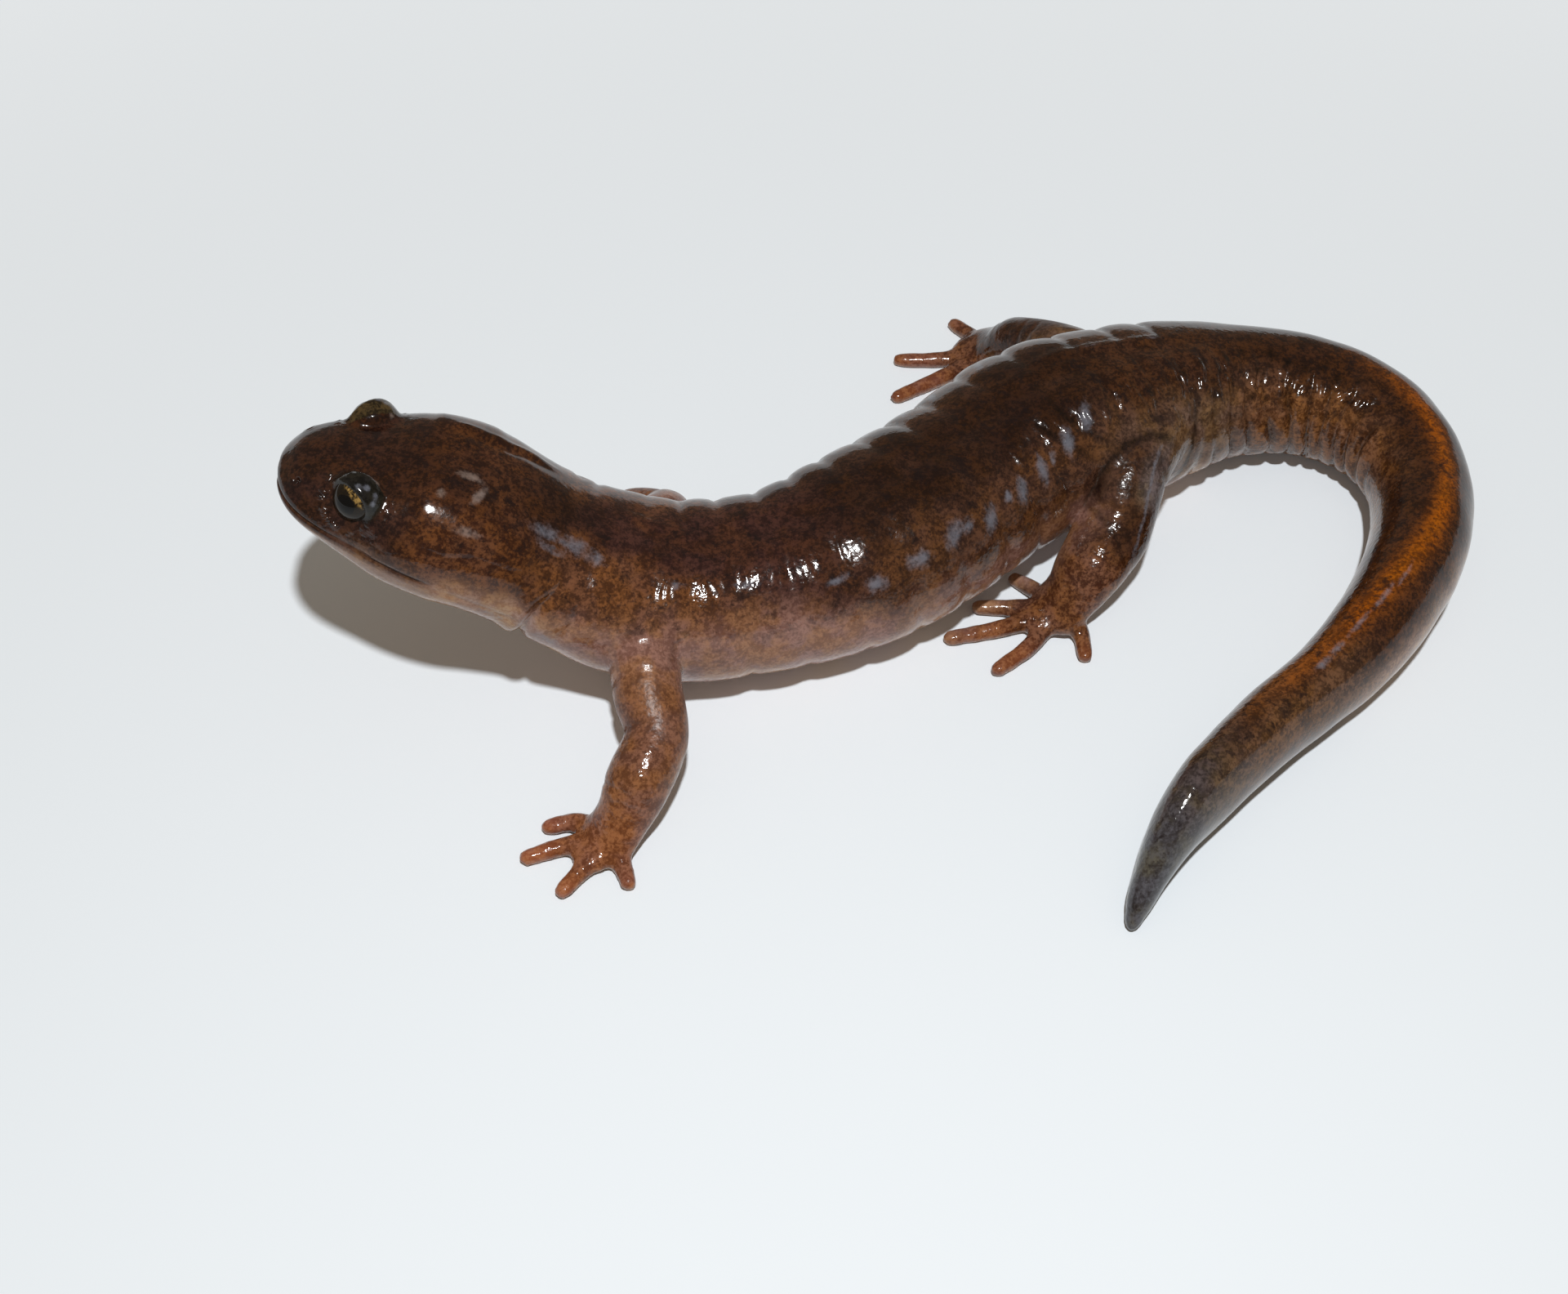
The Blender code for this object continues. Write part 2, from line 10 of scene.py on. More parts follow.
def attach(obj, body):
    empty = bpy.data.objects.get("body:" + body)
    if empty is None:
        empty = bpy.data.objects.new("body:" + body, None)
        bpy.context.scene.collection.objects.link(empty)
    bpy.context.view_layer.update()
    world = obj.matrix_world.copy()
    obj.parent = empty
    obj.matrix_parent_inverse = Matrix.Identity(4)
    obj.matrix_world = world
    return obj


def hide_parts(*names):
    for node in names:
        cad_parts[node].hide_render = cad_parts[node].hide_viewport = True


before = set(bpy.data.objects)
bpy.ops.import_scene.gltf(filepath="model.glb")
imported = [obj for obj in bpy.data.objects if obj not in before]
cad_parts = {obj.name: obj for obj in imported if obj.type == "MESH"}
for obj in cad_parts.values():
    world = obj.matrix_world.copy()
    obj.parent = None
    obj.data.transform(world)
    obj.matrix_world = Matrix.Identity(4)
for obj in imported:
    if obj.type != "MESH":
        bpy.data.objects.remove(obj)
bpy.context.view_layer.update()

# Tago salamander. All sizes are in millimetres until a piece is finished, then it is scaled to metres.
metres = 0.001


# small helpers

def smoothCurve(keys, values, at):
    keys = np.asarray(keys, float)
    values = np.asarray(values, float)
    slopes = np.gradient(values, keys)
    i = np.clip(np.searchsorted(keys, at, side="right") - 1, 0, len(keys) - 2)
    span = keys[i + 1] - keys[i]
    t = (at - keys[i]) / span
    low = (2 * t**3 - 3 * t**2 + 1) * values[i] + (t**3 - 2 * t**2 + t) * span * slopes[i]
    high = (3 * t**2 - 2 * t**3) * values[i + 1] + (t**3 - t**2) * span * slopes[i + 1]
    return low + high


def fade(low, high, x):
    # 0 before low, 1 after high, and the other way round where low is the larger
    t = np.clip((x - low) / (high - low), 0.0, 1.0)
    return t * t * (3 - 2 * t)


def bell(x, width):
    return np.exp(-((x / width) ** 2))


def unit(v):
    return v / np.maximum(np.linalg.norm(v, axis=-1, keepdims=True), 1e-9)


def softNoise(points, size, seed=0.0):
    # soft noise from -1 to 1 at points in millimetres
    return np.array([noise.noise(Vector(p) / size + Vector((seed, seed, seed))) for p in points])


def readPoints(mesh):
    flat = np.empty(len(mesh.vertices) * 3, np.float32)
    mesh.vertices.foreach_get("co", flat)
    return flat.reshape(-1, 3).astype(float)


def writePoints(mesh, points):
    mesh.vertices.foreach_set("co", points.astype(np.float32).ravel())
    mesh.update()


def readNormals(mesh):
    flat = np.empty(len(mesh.vertices) * 3, np.float32)
    mesh.vertex_normals.foreach_get("vector", flat)
    return flat.reshape(-1, 3).astype(float)


def readEdges(mesh):
    flat = np.empty(len(mesh.edges) * 2, np.int32)
    mesh.edges.foreach_get("vertices", flat)
    return flat.reshape(-1, 2)


def relax(points, edges, weights, rounds, share=0.5):
    # moves each point towards the mean of its neighbours, by its own weight
    a, b = edges[:, 0], edges[:, 1]
    count = np.bincount(np.concatenate((a, b)), minlength=len(points)).astype(float)
    for _ in range(rounds):
        mean = np.empty_like(points)
        for k in range(3):
            near = np.concatenate((points[b, k], points[a, k]))
            mean[:, k] = np.bincount(np.concatenate((a, b)), weights=near, minlength=len(points)) / count
        points = points + (mean - points) * (share * weights)[:, None]
    return points


def addMasks(mesh, **masks):
    # a value for each point, which the material reads by its name
    for name, values in masks.items():
        layer = mesh.attributes.new(name, "FLOAT", "POINT")
        layer.data.foreach_set("value", values.astype(np.float32))


def addObject(name, bm):
    bmesh.ops.recalc_face_normals(bm, faces=bm.faces)
    mesh = bpy.data.meshes.new(name)
    bm.to_mesh(mesh)
    bm.free()
    obj = bpy.data.objects.new(name, mesh)
    bpy.context.scene.collection.objects.link(obj)
    return obj


def wrapTube(name, points):
    # a flat grid takes the rows of points and is welded where its sides meet and where a row is one point
    rows, columns = points.shape[:2]
    bm = bmesh.new()
    bmesh.ops.create_grid(bm, x_segments=columns - 1, y_segments=rows - 1, size=1.0)
    for vert, point in zip(bm.verts, points.reshape(-1, 3)):
        vert.co = point
    bmesh.ops.remove_doubles(bm, verts=bm.verts, dist=1e-5)
    return addObject(name, bm)


def applyModifier(obj, kind, **settings):
    modifier = obj.modifiers.new(kind.lower(), kind)
    for key, value in settings.items():
        setattr(modifier, key, value)
    bpy.context.view_layer.update()
    shaped = obj.evaluated_get(bpy.context.evaluated_depsgraph_get())
    mesh = bpy.data.meshes.new_from_object(shaped)
    obj.modifiers.clear()
    obj.data = mesh
    return obj


# the course and sections of the body, as in the solids but for a rounder tip of the tail

body = {
    "snout": (-36.4, -3.75),
    "place": (-0.15, -0.38, 0.0),
    "end": 121.8,
    "restFrom": 40.0,
    "sink": 0.15,
    "step": 0.25,
    # distance from the snout, heading in degrees, height of the axis (None rests on the floor), roll
    "course": [
        (0.0, -2.0, 15.8, 3.5), (6.0, -2.0, 13.8, 3.5), (12.0, -5.0, 11.7, 3.0), (17.0, -3.0, 8.8, 1.5),
        (23.0, 3.5, 5.9, 0.0), (30.0, 15.2, 5.1, 0.0), (38.0, 33.7, None, 0.0), (46.0, 42.5, None, 0.0),
        (54.0, 26.5, None, 0.0), (61.0, 25.0, None, 0.0), (67.5, 4.7, None, 0.0), (74.5, -33.0, None, 0.0),
        (81.5, -84.5, None, 0.0), (88.0, -112.0, None, 0.0), (95.0, -127.0, None, 0.0),
        (102.0, -139.0, None, 0.0), (108.0, -136.0, None, 0.0), (114.0, -129.0, None, 0.0),
        (121.8, -110.0, None, 0.0),
    ],
    # distance, half width, height above the axis, depth below it, fullness above, fullness below
    "sections": [
        (0.0, 0.0, 0.4, -0.4, 1.0, 0.85), (0.4, 1.8, 1.15, 0.75, 1.0, 0.85), (1.0, 2.75, 1.8, 1.2, 1.0, 0.85),
        (2.0, 3.6, 2.37, 1.75, 1.0, 0.85), (3.0, 4.12, 2.73, 2.15, 1.0, 0.85),
        (4.4, 4.7, 3.08, 2.8, 0.98, 0.85), (6.0, 5.3, 3.5, 3.4, 0.93, 0.85), (8.0, 5.9, 3.97, 3.8, 0.9, 0.86),
        (10.0, 6.1, 4.1, 4.0, 0.9, 0.88), (12.0, 5.95, 4.0, 4.1, 0.92, 0.9), (14.5, 5.7, 3.95, 4.15, 0.95, 0.93),
        (17.0, 5.7, 4.05, 4.1, 0.96, 0.95), (23.0, 6.0, 4.8, 4.8, 0.95, 0.95),
        (30.0, 5.75, 4.95, 4.95, 0.95, 0.95), (38.0, 6.35, 5.45, 5.45, 0.95, 0.95),
        (46.0, 6.2, 5.3, 5.3, 0.95, 0.95), (54.0, 6.45, 5.55, 5.55, 0.95, 0.95),
        (61.0, 5.55, 5.0, 5.0, 0.97, 0.97), (67.5, 4.45, 4.25, 4.25, 1.0, 1.0),
        (74.5, 3.87, 3.94, 3.94, 1.0, 1.0), (81.5, 3.25, 3.7, 3.7, 1.0, 1.0), (88.0, 3.05, 3.83, 3.83, 1.0, 1.0),
        (95.0, 2.7, 3.7, 3.7, 1.0, 1.0), (102.0, 2.2, 3.28, 3.28, 1.0, 1.0), (108.0, 2.0, 3.25, 3.25, 1.0, 1.0),
        (114.0, 1.65, 3.0, 3.0, 1.0, 1.0), (118.6, 0.95, 1.65, 1.65, 1.0, 1.0),
        (120.9, 0.56, 0.84, 0.84, 1.0, 1.0), (121.5, 0.34, 0.46, 0.46, 1.0, 1.0), (121.8, 0.0, 0.0, 0.0, 1.0, 1.0),
    ],
    "around": 120,
    "headEnd": 19.0,
    "bendStart": 46.0,
    "bendEnd": 87.0,
    "tipStart": 118.6,
    "headSpacing": 0.23,
    "trunkSpacing": 0.37,
    "bendSpacing": 0.24,
    "tailSpacing": 0.5,
}


def sectionAt(along):
    rows = body["sections"]
    keys = np.sqrt([row[0] for row in rows])
    at = np.sqrt(along)
    return [smoothCurve(keys, [row[k] for row in rows], at) for k in range(1, 6)]


def makeSpine():
    along = np.arange(0.0, body["end"] + body["step"] / 2, body["step"])
    course = body["course"]
    keys = [row[0] for row in course]
    stops = np.array(keys)
    resting = sectionAt(stops)[2] - body["sink"]
    heights = [rest if row[2] is None else row[2] for row, rest in zip(course, resting)]
    heading = np.radians(smoothCurve(keys, [row[1] for row in course], along))
    height = smoothCurve(keys, heights, along)
    down = along > body["restFrom"]
    height[down] = sectionAt(along[down])[2] - body["sink"]
    level = np.sqrt(np.clip(1 - np.gradient(height, along) ** 2, 0.2, 1))
    x = body["snout"][0] + np.concatenate(([0], np.cumsum((np.cos(heading) * level)[:-1] * body["step"])))
    y = body["snout"][1] + np.concatenate(([0], np.cumsum((np.sin(heading) * level)[:-1] * body["step"])))
    points = np.stack([x, y, height], axis=1)
    return {
        "along": along,
        "points": points + np.array(body["place"]),
        "tangents": np.gradient(points, along, axis=0),
        "rolls": np.radians(smoothCurve(keys, [row[3] for row in course], along)),
    }


spine = makeSpine()


def frameAt(along):
    along = np.asarray(along, float)
    centre = np.stack([np.interp(along, spine["along"], spine["points"][:, k]) for k in range(3)], axis=-1)
    tangent = np.stack([np.interp(along, spine["along"], spine["tangents"][:, k]) for k in range(3)], axis=-1)
    tangent = unit(tangent)
    left = unit(np.stack([tangent[..., 1], -tangent[..., 0], np.zeros_like(along)], axis=-1))
    up = np.cross(left, tangent)
    roll = np.interp(along, spine["along"], spine["rolls"])[..., None]
    return centre, tangent, left * np.cos(roll) + up * np.sin(roll), up * np.cos(roll) - left * np.sin(roll)


def skinPoints(along, turn, grow=0.0):
    # turn is in radians: 0 the left side, a quarter turn the back, three quarters the belly
    centre, _, left, up = frameAt(along)
    width, above, below, fullAbove, fullBelow = sectionAt(along)
    c, s = np.cos(turn), np.sin(turn)
    height = np.where(s >= 0, above, below)
    power = np.where(s >= 0, fullAbove, fullBelow)
    across = (width + grow) * np.sign(c) * np.abs(c) ** power
    rise = (height + grow) * np.sign(s) * np.abs(s) ** power
    return centre + left * across[..., None] + up * rise[..., None]


def bodyPlaces(points):
    # distance along the spine, offset to the left and offset upwards of each point
    tree = KDTree(len(spine["points"]))
    for k, point in enumerate(spine["points"]):
        tree.insert(point, k)
    tree.balance()
    near = np.array([tree.find(p)[1] for p in points])
    along = spine["along"][near]
    for _ in range(3):
        centre, tangent, left, up = frameAt(along)
        ahead = np.clip(np.sum((points - centre) * tangent, axis=1), -0.2, 0.2)
        along = np.clip(along + ahead * 0.8, 0.0, body["end"])
    centre, tangent, left, up = frameAt(along)
    away = points - centre
    return along, np.sum(away * left, axis=1), np.sum(away * up, axis=1)


print("skin: trunk and head")

head = {
    "eyeAt": 4.6,
    "eyeOut": 3.12,
    "eyeUp": 2.1,
    "eyeRadius": 1.33,
    "gaze": (0.85, 0.42, 0.3),        # outward, forward, upward
    "lidTilt": 30.0,                  # degrees that the lids slant down towards the back
    "lidRadius": 1.46,
    "lidBlend": 0.5,
    "lidOrigin": 0.8,                 # the lids bulge from a point this far behind the ball's middle
    "lidNear": 3.4,
    "lidReach": (3.2, 1.9),           # their bulge fades out between these distances
    "opening": (0.90, 0.75),          # half width and half height of the lid opening, as sines
    "openingShift": (0.0, -0.13),    # forward, upward
    "rim": 0.09,
    "rimHeight": 0.02,
    "dip": 0.85,                      # share of the ball's radius to which the skin sinks in the opening
    "beadRing": 2.05,                 # fold of small grains round the lower lid
    "beadHeight": 0.035,
    "mouthEnd": 9.8,
    "mouthDrop": 0.12,
    "mouthDepth": 0.15,
    "mouthWidth": 0.1,
    "upperLip": (0.06, 0.42, 0.33),   # height, distance from the line of the mouth, half width
    "lowerLip": (0.05, -0.4, 0.3),
    "nostrilAt": 1.2,
    "nostrilTurn": 47.0,
    "nostrilDepth": 0.26,
    "nostrilRadius": 0.17,
    "nostrilRing": (0.035, 0.36, 0.16),
}


def eyeFrame(side):
    # centre of an eye, its gaze, and the forward and upward directions square to it; side is 1 for the left
    centre, tangent, left, up = frameAt(head["eyeAt"])
    spot = centre + left * head["eyeOut"] * side + up * head["eyeUp"]
    outward, forward, upward = head["gaze"]
    gaze = unit(left * side * outward - tangent * forward + up * upward)
    level = unit(-tangent + gaze * np.dot(tangent, gaze))
    above = np.cross(gaze, level) * -side
    c, s = math.cos(math.radians(head["lidTilt"])), math.sin(math.radians(head["lidTilt"]))
    return spot, gaze, level * c + above * s, above * c - level * s


def trunkRows():
    snout = np.arange(0.0, 2.0, 0.065) ** 2
    face = np.arange(snout[-1] + body["headSpacing"], body["headEnd"], body["headSpacing"])
    middle = np.arange(body["headEnd"], body["bendStart"], body["trunkSpacing"])
    bend = np.arange(body["bendStart"], body["bendEnd"], body["bendSpacing"])
    tail = np.arange(body["bendEnd"], body["tipStart"], body["tailSpacing"])
    tip = body["end"] - np.linspace(math.sqrt(body["end"] - body["tipStart"]), 0, 16) ** 2
    return np.concatenate((snout, face, middle, bend, tail, tip))


def refine(obj, inside, cuts):
    # divides the faces whose corners all lie inside the mask
    bm = bmesh.new()
    bm.from_mesh(obj.data)
    bm.verts.ensure_lookup_table()
    edges = [e for e in bm.edges if inside[e.verts[0].index] and inside[e.verts[1].index]]
    bmesh.ops.subdivide_edges(bm, edges=edges, cuts=cuts, use_grid_fill=True)
    bm.to_mesh(obj.data)
    bm.free()


def furrow(along, turn, path, width):
    # how near each point is to a line drawn on the skin as (distance, degrees) pairs, fading at its ends
    sizes = sectionAt(along)
    girth = (sizes[0] + sizes[1]) / 2
    best = np.full(len(along), 9.0)
    share = np.zeros(len(along))
    steps = len(path) - 1
    for k, ((a0, t0), (a1, t1)) in enumerate(zip(path, path[1:])):
        du, dv = a1 - a0, np.radians(t1 - t0) * girth
        u, v = along - a0, (((turn - np.radians(t0)) + math.pi) % (2 * math.pi) - math.pi) * girth
        t = np.clip((u * du + v * dv) / (du * du + dv * dv), 0, 1)
        away = np.hypot(u - t * du, v - t * dv)
        share = np.where(away < best, (k + t) / steps, share)
        best = np.minimum(best, away)
    ends = fade(0.0, 0.2, share) * fade(1.0, 0.8, share)
    return bell(best, width) * (0.25 + 0.75 * ends)


# beads of skin round the eye: degrees from straight ahead (upwards is positive) and distance from the eye's middle
beads = {
    "places": [
        (-35, 1.86), (-33, 1.52), (-49, 1.57), (-58, 1.82), (-64, 1.50), (-86, 1.46), (-104, 1.55), (-113, 1.50),
        (-124, 1.47), (-142, 1.62), (-159, 1.57), (-168, 1.78), (-176, 1.95), (148, 1.90), (159, 2.15), (126, 2.0),
        (133, 2.06), (24, 1.60), (37, 1.50), (14, 1.67), (-74, 1.72), (-95, 1.74),
    ],
    "radius": 0.1,
    "height": 0.07,
}


def acrossThroat(half):
    # a path down the left side to the middle of the throat goes on up the right side
    return half + [(along, -180 - degrees) for along, degrees in reversed(half[:-1])]


folds = {
    # name: path over the skin as (distance, degrees) pairs, half width, height (negative is a groove)
    "gularFold": (acrossThroat([(16.6, 44), (15.9, 18), (16.1, -8), (16.5, -45), (16.7, -90)]), 0.26, -0.42),
    "gularLip": (acrossThroat([(15.9, 34), (15.3, 14), (15.4, -8), (15.8, -45), (16.0, -90)]), 0.5, 0.16),
    "napeFold": ([(9.0, 116), (9.8, 115), (10.8, 114), (12.6, 120), (14.6, 122)], 0.2, 0.15),
    "napeGroove": ([(9.0, 111), (9.8, 110), (10.8, 109), (12.6, 115), (14.6, 117)], 0.24, -0.12),
    "groinFold": ([(49.3, 72), (49.7, 60), (50.6, 48), (52.4, 30)], 0.24, -0.16),
    "hipFold": ([(51.0, 72), (51.5, 62), (52.4, 50), (53.4, 36)], 0.22, -0.13),
    "backLineRear": ([(51.5, 104), (54.0, 104), (57.0, 101), (61.5, 99)], 0.26, 0.15),
    "backLineHip": ([(48.8, 101), (52.5, 95), (56.2, 89)], 0.26, 0.13),
    "backLineFront": ([(19.0, 104), (21.5, 99), (24.9, 94), (27.6, 92)], 0.26, 0.13),
    "backLineNeck": ([(21.6, 94), (25.0, 89), (28.4, 86)], 0.26, 0.12),
    "thighTop": ([(52.8, 20), (55.6, 28)], 1.6, 0.5),
    "thighEdge": (
        [(49.9, -6), (50.6, 9), (51.9, 18), (53.2, 30), (54.4, 35), (56.2, 37), (57.2, 32), (57.6, 24)],
        0.24, -0.26,
    ),
    "flapLine": ([(57.0, 32), (56.3, 28), (54.7, 13), (53.8, 4), (52.5, -3), (50.4, -8)], 0.2, 0.16),
    "thighFold": ([(60.6, 50), (60.0, 20), (59.4, -12), (58.6, -35)], 0.3, -0.16),
}

pairedFolds = {
    # drawn on the left side and mirrored on the right
    "jawFold": ([(10.4, -6), (12.2, -9), (14.4, -10), (15.6, -6)], 0.24, -0.13),
    "cheek": ([(7.6, 30), (8.9, 26), (10.2, 25), (11.3, 30), (13.0, 32), (15.5, 36)], 0.24, -0.12),
    "neckFold": ([(17.4, 62), (18.0, 40), (18.2, 15), (18.0, -10)], 0.28, -0.14),
    "temple": ([(7.6, 58), (9.6, 60), (12.0, 57)], 1.4, 0.3),
}

for name, (path, width, height) in pairedFolds.items():
    folds[name + "Left"] = (path, width, height)
    folds[name + "Right"] = ([(along, 180 - degrees) for along, degrees in path], width, height)

grooves = {
    "first": 25.3, "last": 61.3, "pitch": 3.0, "depth": 0.13, "halfWidth": 0.3, "swell": 0.24,
    "trunkFrom": (19.0, 23.0), "trunkTo": (66.0, 60.0), "slant": 0.5, "backDepth": 0.17, "backDegrees": 8.0,
}

comb = {
    # fine folds across the upper left side of the hips and the tail's base
    "from": (45.0, 49.0), "to": (74.0, 69.0), "pitch": 1.1, "height": 0.05, "degrees": 58.0, "spread": 20.0,
    "wander": 0.7, "highFrom": (51.0, 55.0), "highTo": (69.0, 65.0), "higher": 0.8,
}

wrinkles = {
    # rings pinched together on the inner side of the tail's bend
    "from": (58.0, 66.0), "to": (84.0, 77.0), "pitch": 1.9, "height": 0.34, "halfWidth": 0.24,
    "sway": 0.4, "wander": 1.3, "wanderSize": 4.6,
}


def tailWrinkles(along, turn, points):
    # height of the rings, and how deep in a crease each point is
    shift = wrinkles["sway"] * np.sin(2 * turn) + wrinkles["wander"] * softNoise(points, wrinkles["wanderSize"], 4.0)
    step = (along + shift) / wrinkles["pitch"]
    crease = bell((step - np.round(step)) * wrinkles["pitch"], wrinkles["halfWidth"])
    inner = np.clip(np.cos(turn) + 0.1, 0, 1) ** 0.7
    inner *= fade(-0.97, -0.3, np.sin(turn)) * fade(0.97, 0.7, np.sin(turn))
    there = fade(*wrinkles["from"], along) * fade(*wrinkles["to"], along)
    strength = inner * there * np.clip(0.8 + 0.7 * softNoise(points, 1.6, 9.0), 0.2, 1.2)
    return wrinkles["height"] * strength * (0.5 * np.abs(np.sin(math.pi * step)) - 0.8 * crease), crease * strength


def bodyRelief(along, turn, points):
    place = along + grooves["slant"] * np.sin(turn)
    step = (place - grooves["first"]) / grooves["pitch"]
    nearest = np.clip(np.round(step), 0, (grooves["last"] - grooves["first"]) / grooves["pitch"])
    flank = np.abs(np.cos(turn)) ** 0.8
    onTrunk = fade(*grooves["trunkFrom"], along) * fade(*grooves["trunkTo"], along)
    depth = -grooves["depth"] * flank * bell((step - nearest) * grooves["pitch"], grooves["halfWidth"])
    upper = fade(-0.75, 0.0, np.sin(turn))
    upper *= 0.7 + 0.3 * np.sin(np.floor(step) * 2.3 + (turn > math.pi / 2))
    depth += grooves["swell"] * flank * upper * (np.abs(np.sin(math.pi * step)) - 0.6) * onTrunk
    degrees = np.degrees(np.abs(turn - math.pi / 2))
    depth -= grooves["backDepth"] * bell(degrees, grooves["backDegrees"]) * onTrunk
    depth += tailWrinkles(along, turn, points)[0]
    there = fade(*comb["from"], along) * fade(*comb["to"], along)
    there *= bell(np.degrees(turn) - comb["degrees"], comb["spread"])
    there *= 1 + comb["higher"] * fade(*comb["highFrom"], along) * fade(*comb["highTo"], along)
    phase = (along + comb["wander"] * softNoise(points, 1.5, 3.0)) * 2 * math.pi / comb["pitch"]
    depth += comb["height"] * there * np.sin(phase)
    for path, width, height in folds.values():
        depth += height * furrow(along, turn, path, width)
    depth += 0.07 * softNoise(points, 2.6, 1.0) * fade(2.0, 6.0, along)
    return depth


def faceRelief(along, turn, points, rise):
    # line of the mouth with its lips, and the nostrils
    near = rise + head["mouthDrop"] * (along / head["mouthEnd"]) ** 2
    there = fade(head["mouthEnd"] + 0.5, head["mouthEnd"] - 1.2, along)
    depth = -head["mouthDepth"] * bell(near, head["mouthWidth"]) * there
    for height, place, width in (head["upperLip"], head["lowerLip"]):
        depth += height * bell(near - place, width) * there
    for side in (1, -1):
        spot = skinPoints(np.array([head["nostrilAt"]]), np.radians([90 - side * head["nostrilTurn"]]))[0]
        away = np.linalg.norm(points - spot, axis=1)
        depth -= head["nostrilDepth"] * bell(away, head["nostrilRadius"])
        height, place, width = head["nostrilRing"]
        depth += height * bell(away - place, width)
        spot, gaze, ahead, above = eyeFrame(side)
        away = np.linalg.norm(points - spot, axis=1)
        close = away < 2.8
        grains = np.zeros(len(points))
        grains[close] = 0.62 + 1.1 * softNoise(points[close], 0.42, 5.0)
        lower = fade(0.55, 0.1, unit(points - spot) @ above)
        depth += head["beadHeight"] * bell(away - head["beadRing"], 0.2) * np.clip(grains, 0.0, 1.2) * lower
    return depth


def growLids(points, side):
    # the lids bulge over the ball as a dome, and inside their opening the skin dips into the ball
    spot, gaze, ahead, above = eyeFrame(side)
    origin = spot - gaze * head["lidOrigin"]
    v = points - origin
    length = np.linalg.norm(v, axis=1)
    d = v / length[:, None]
    apart = np.linalg.norm(points - spot, axis=1)
    near = (apart < head["lidNear"]) & (d @ gaze > -0.1)
    m = origin - spot
    md = d @ m
    dome = -md + np.sqrt(np.maximum(md**2 - (m @ m - head["lidRadius"] ** 2), 0))
    blend = head["lidBlend"]
    grown = (length + dome + np.sqrt((length - dome) ** 2 + blend**2)) / 2
    reach = fade(*head["lidReach"], apart) * fade(-0.1, 0.35, d @ gaze)
    length = np.where(near, length + (grown - length) * reach, length)
    out = origin + d * length[:, None]
    # opening between the lids
    q = unit(out - spot)
    across = (q @ ahead - head["openingShift"][0]) / head["opening"][0]
    height = (q @ above - head["openingShift"][1]) / head["opening"][1]
    edge = np.sqrt(across**2 + height**2)
    front = fade(0.12, 0.34, q @ gaze)
    dip = fade(1.0 + head["rim"], 1.0 - head["rim"], edge) * front * near
    size = np.linalg.norm(out - spot, axis=1)
    rim = head["rimHeight"] * bell(edge - 1.2, 0.12) * front * near
    size = size * (1 - dip) + dip * head["dip"] * head["eyeRadius"] + rim
    return np.where(near[:, None], spot + q * size[:, None], points)


def eyeBeads(points, side):
    spot, gaze, ahead, above = eyeFrame(side)
    q = points - spot
    near = (np.linalg.norm(q, axis=1) < 2.6) & (q @ gaze > -1.2)
    height = np.zeros(len(points))
    for angle, out in beads["places"]:
        angle = math.radians(angle)
        away = np.hypot(q @ ahead - out * math.cos(angle), q @ above - out * math.sin(angle))
        middle = points[np.argmin(np.where(near, away, 99.0))]
        height = np.maximum(height, bell(np.linalg.norm(points - middle, axis=1), beads["radius"]))
    return beads["height"] * height


def makeTrunk():
    rows = trunkRows()
    turns = np.linspace(0, 2 * math.pi, body["around"] + 1)
    grid = skinPoints(np.repeat(rows, len(turns)), np.tile(turns, len(rows)))
    grid = grid.reshape(len(rows), len(turns), 3)
    grid[:, -1] = grid[:, 0]
    grid[0] = grid[0, 0]
    grid[-1] = grid[-1, 0]
    obj = wrapTube("skin", grid)
    for cuts, eyeReach, mouthReach in ((1, 2.3, 0.7), (1, 1.9, 0.36)):
        points = readPoints(obj.data)
        along, across, rise = bodyPlaces(points)
        inside = np.zeros(len(points), bool)
        for side in (1, -1):
            inside |= np.linalg.norm(points - eyeFrame(side)[0], axis=1) < eyeReach
            spot = skinPoints(np.array([head["nostrilAt"]]), np.radians([90 - side * head["nostrilTurn"]]))[0]
            inside |= np.linalg.norm(points - spot, axis=1) < mouthReach * 0.8
        inside |= (np.abs(rise + 0.1) < mouthReach) & (along < head["mouthEnd"] + 0.8)
        inside &= along > 0.12
        refine(obj, inside, cuts)
    points = readPoints(obj.data)
    along, across, rise = bodyPlaces(points)
    turn = np.arctan2(rise / sectionAt(along)[1].clip(0.3), across / sectionAt(along)[0].clip(0.3))
    # the tip of the snout has tiny faces, so there the skin moves straight away from a point inside the head
    centre, _, _, up = frameAt(2.6)
    outward = unit(points - centre - up * 0.2)
    blend = fade(1.6, 0.7, along)[:, None]
    normals = unit(readNormals(obj.data) * (1 - blend) + outward * blend)
    shift = bodyRelief(along, turn, points) + faceRelief(along, turn, points, rise)
    points = points + normals * shift[:, None]
    for side in (1, -1):
        points = growLids(points, side)
    edges = readEdges(obj.data)
    weights = np.zeros(len(points))
    for side in (1, -1):
        away = np.linalg.norm(points - eyeFrame(side)[0], axis=1)
        weights = np.maximum(weights, fade(1.75, 1.55, away) * 0.5)
    points = relax(points, edges, weights, 2)
    writePoints(obj.data, points)
    points = points + readNormals(obj.data) * (eyeBeads(points, 1) + 0.5 * eyeBeads(points, -1))[:, None]
    points = relax(points, edges, fade(0.5, 0.25, along), 12)
    writePoints(obj.data, points)
    return obj


print("skin: limbs")

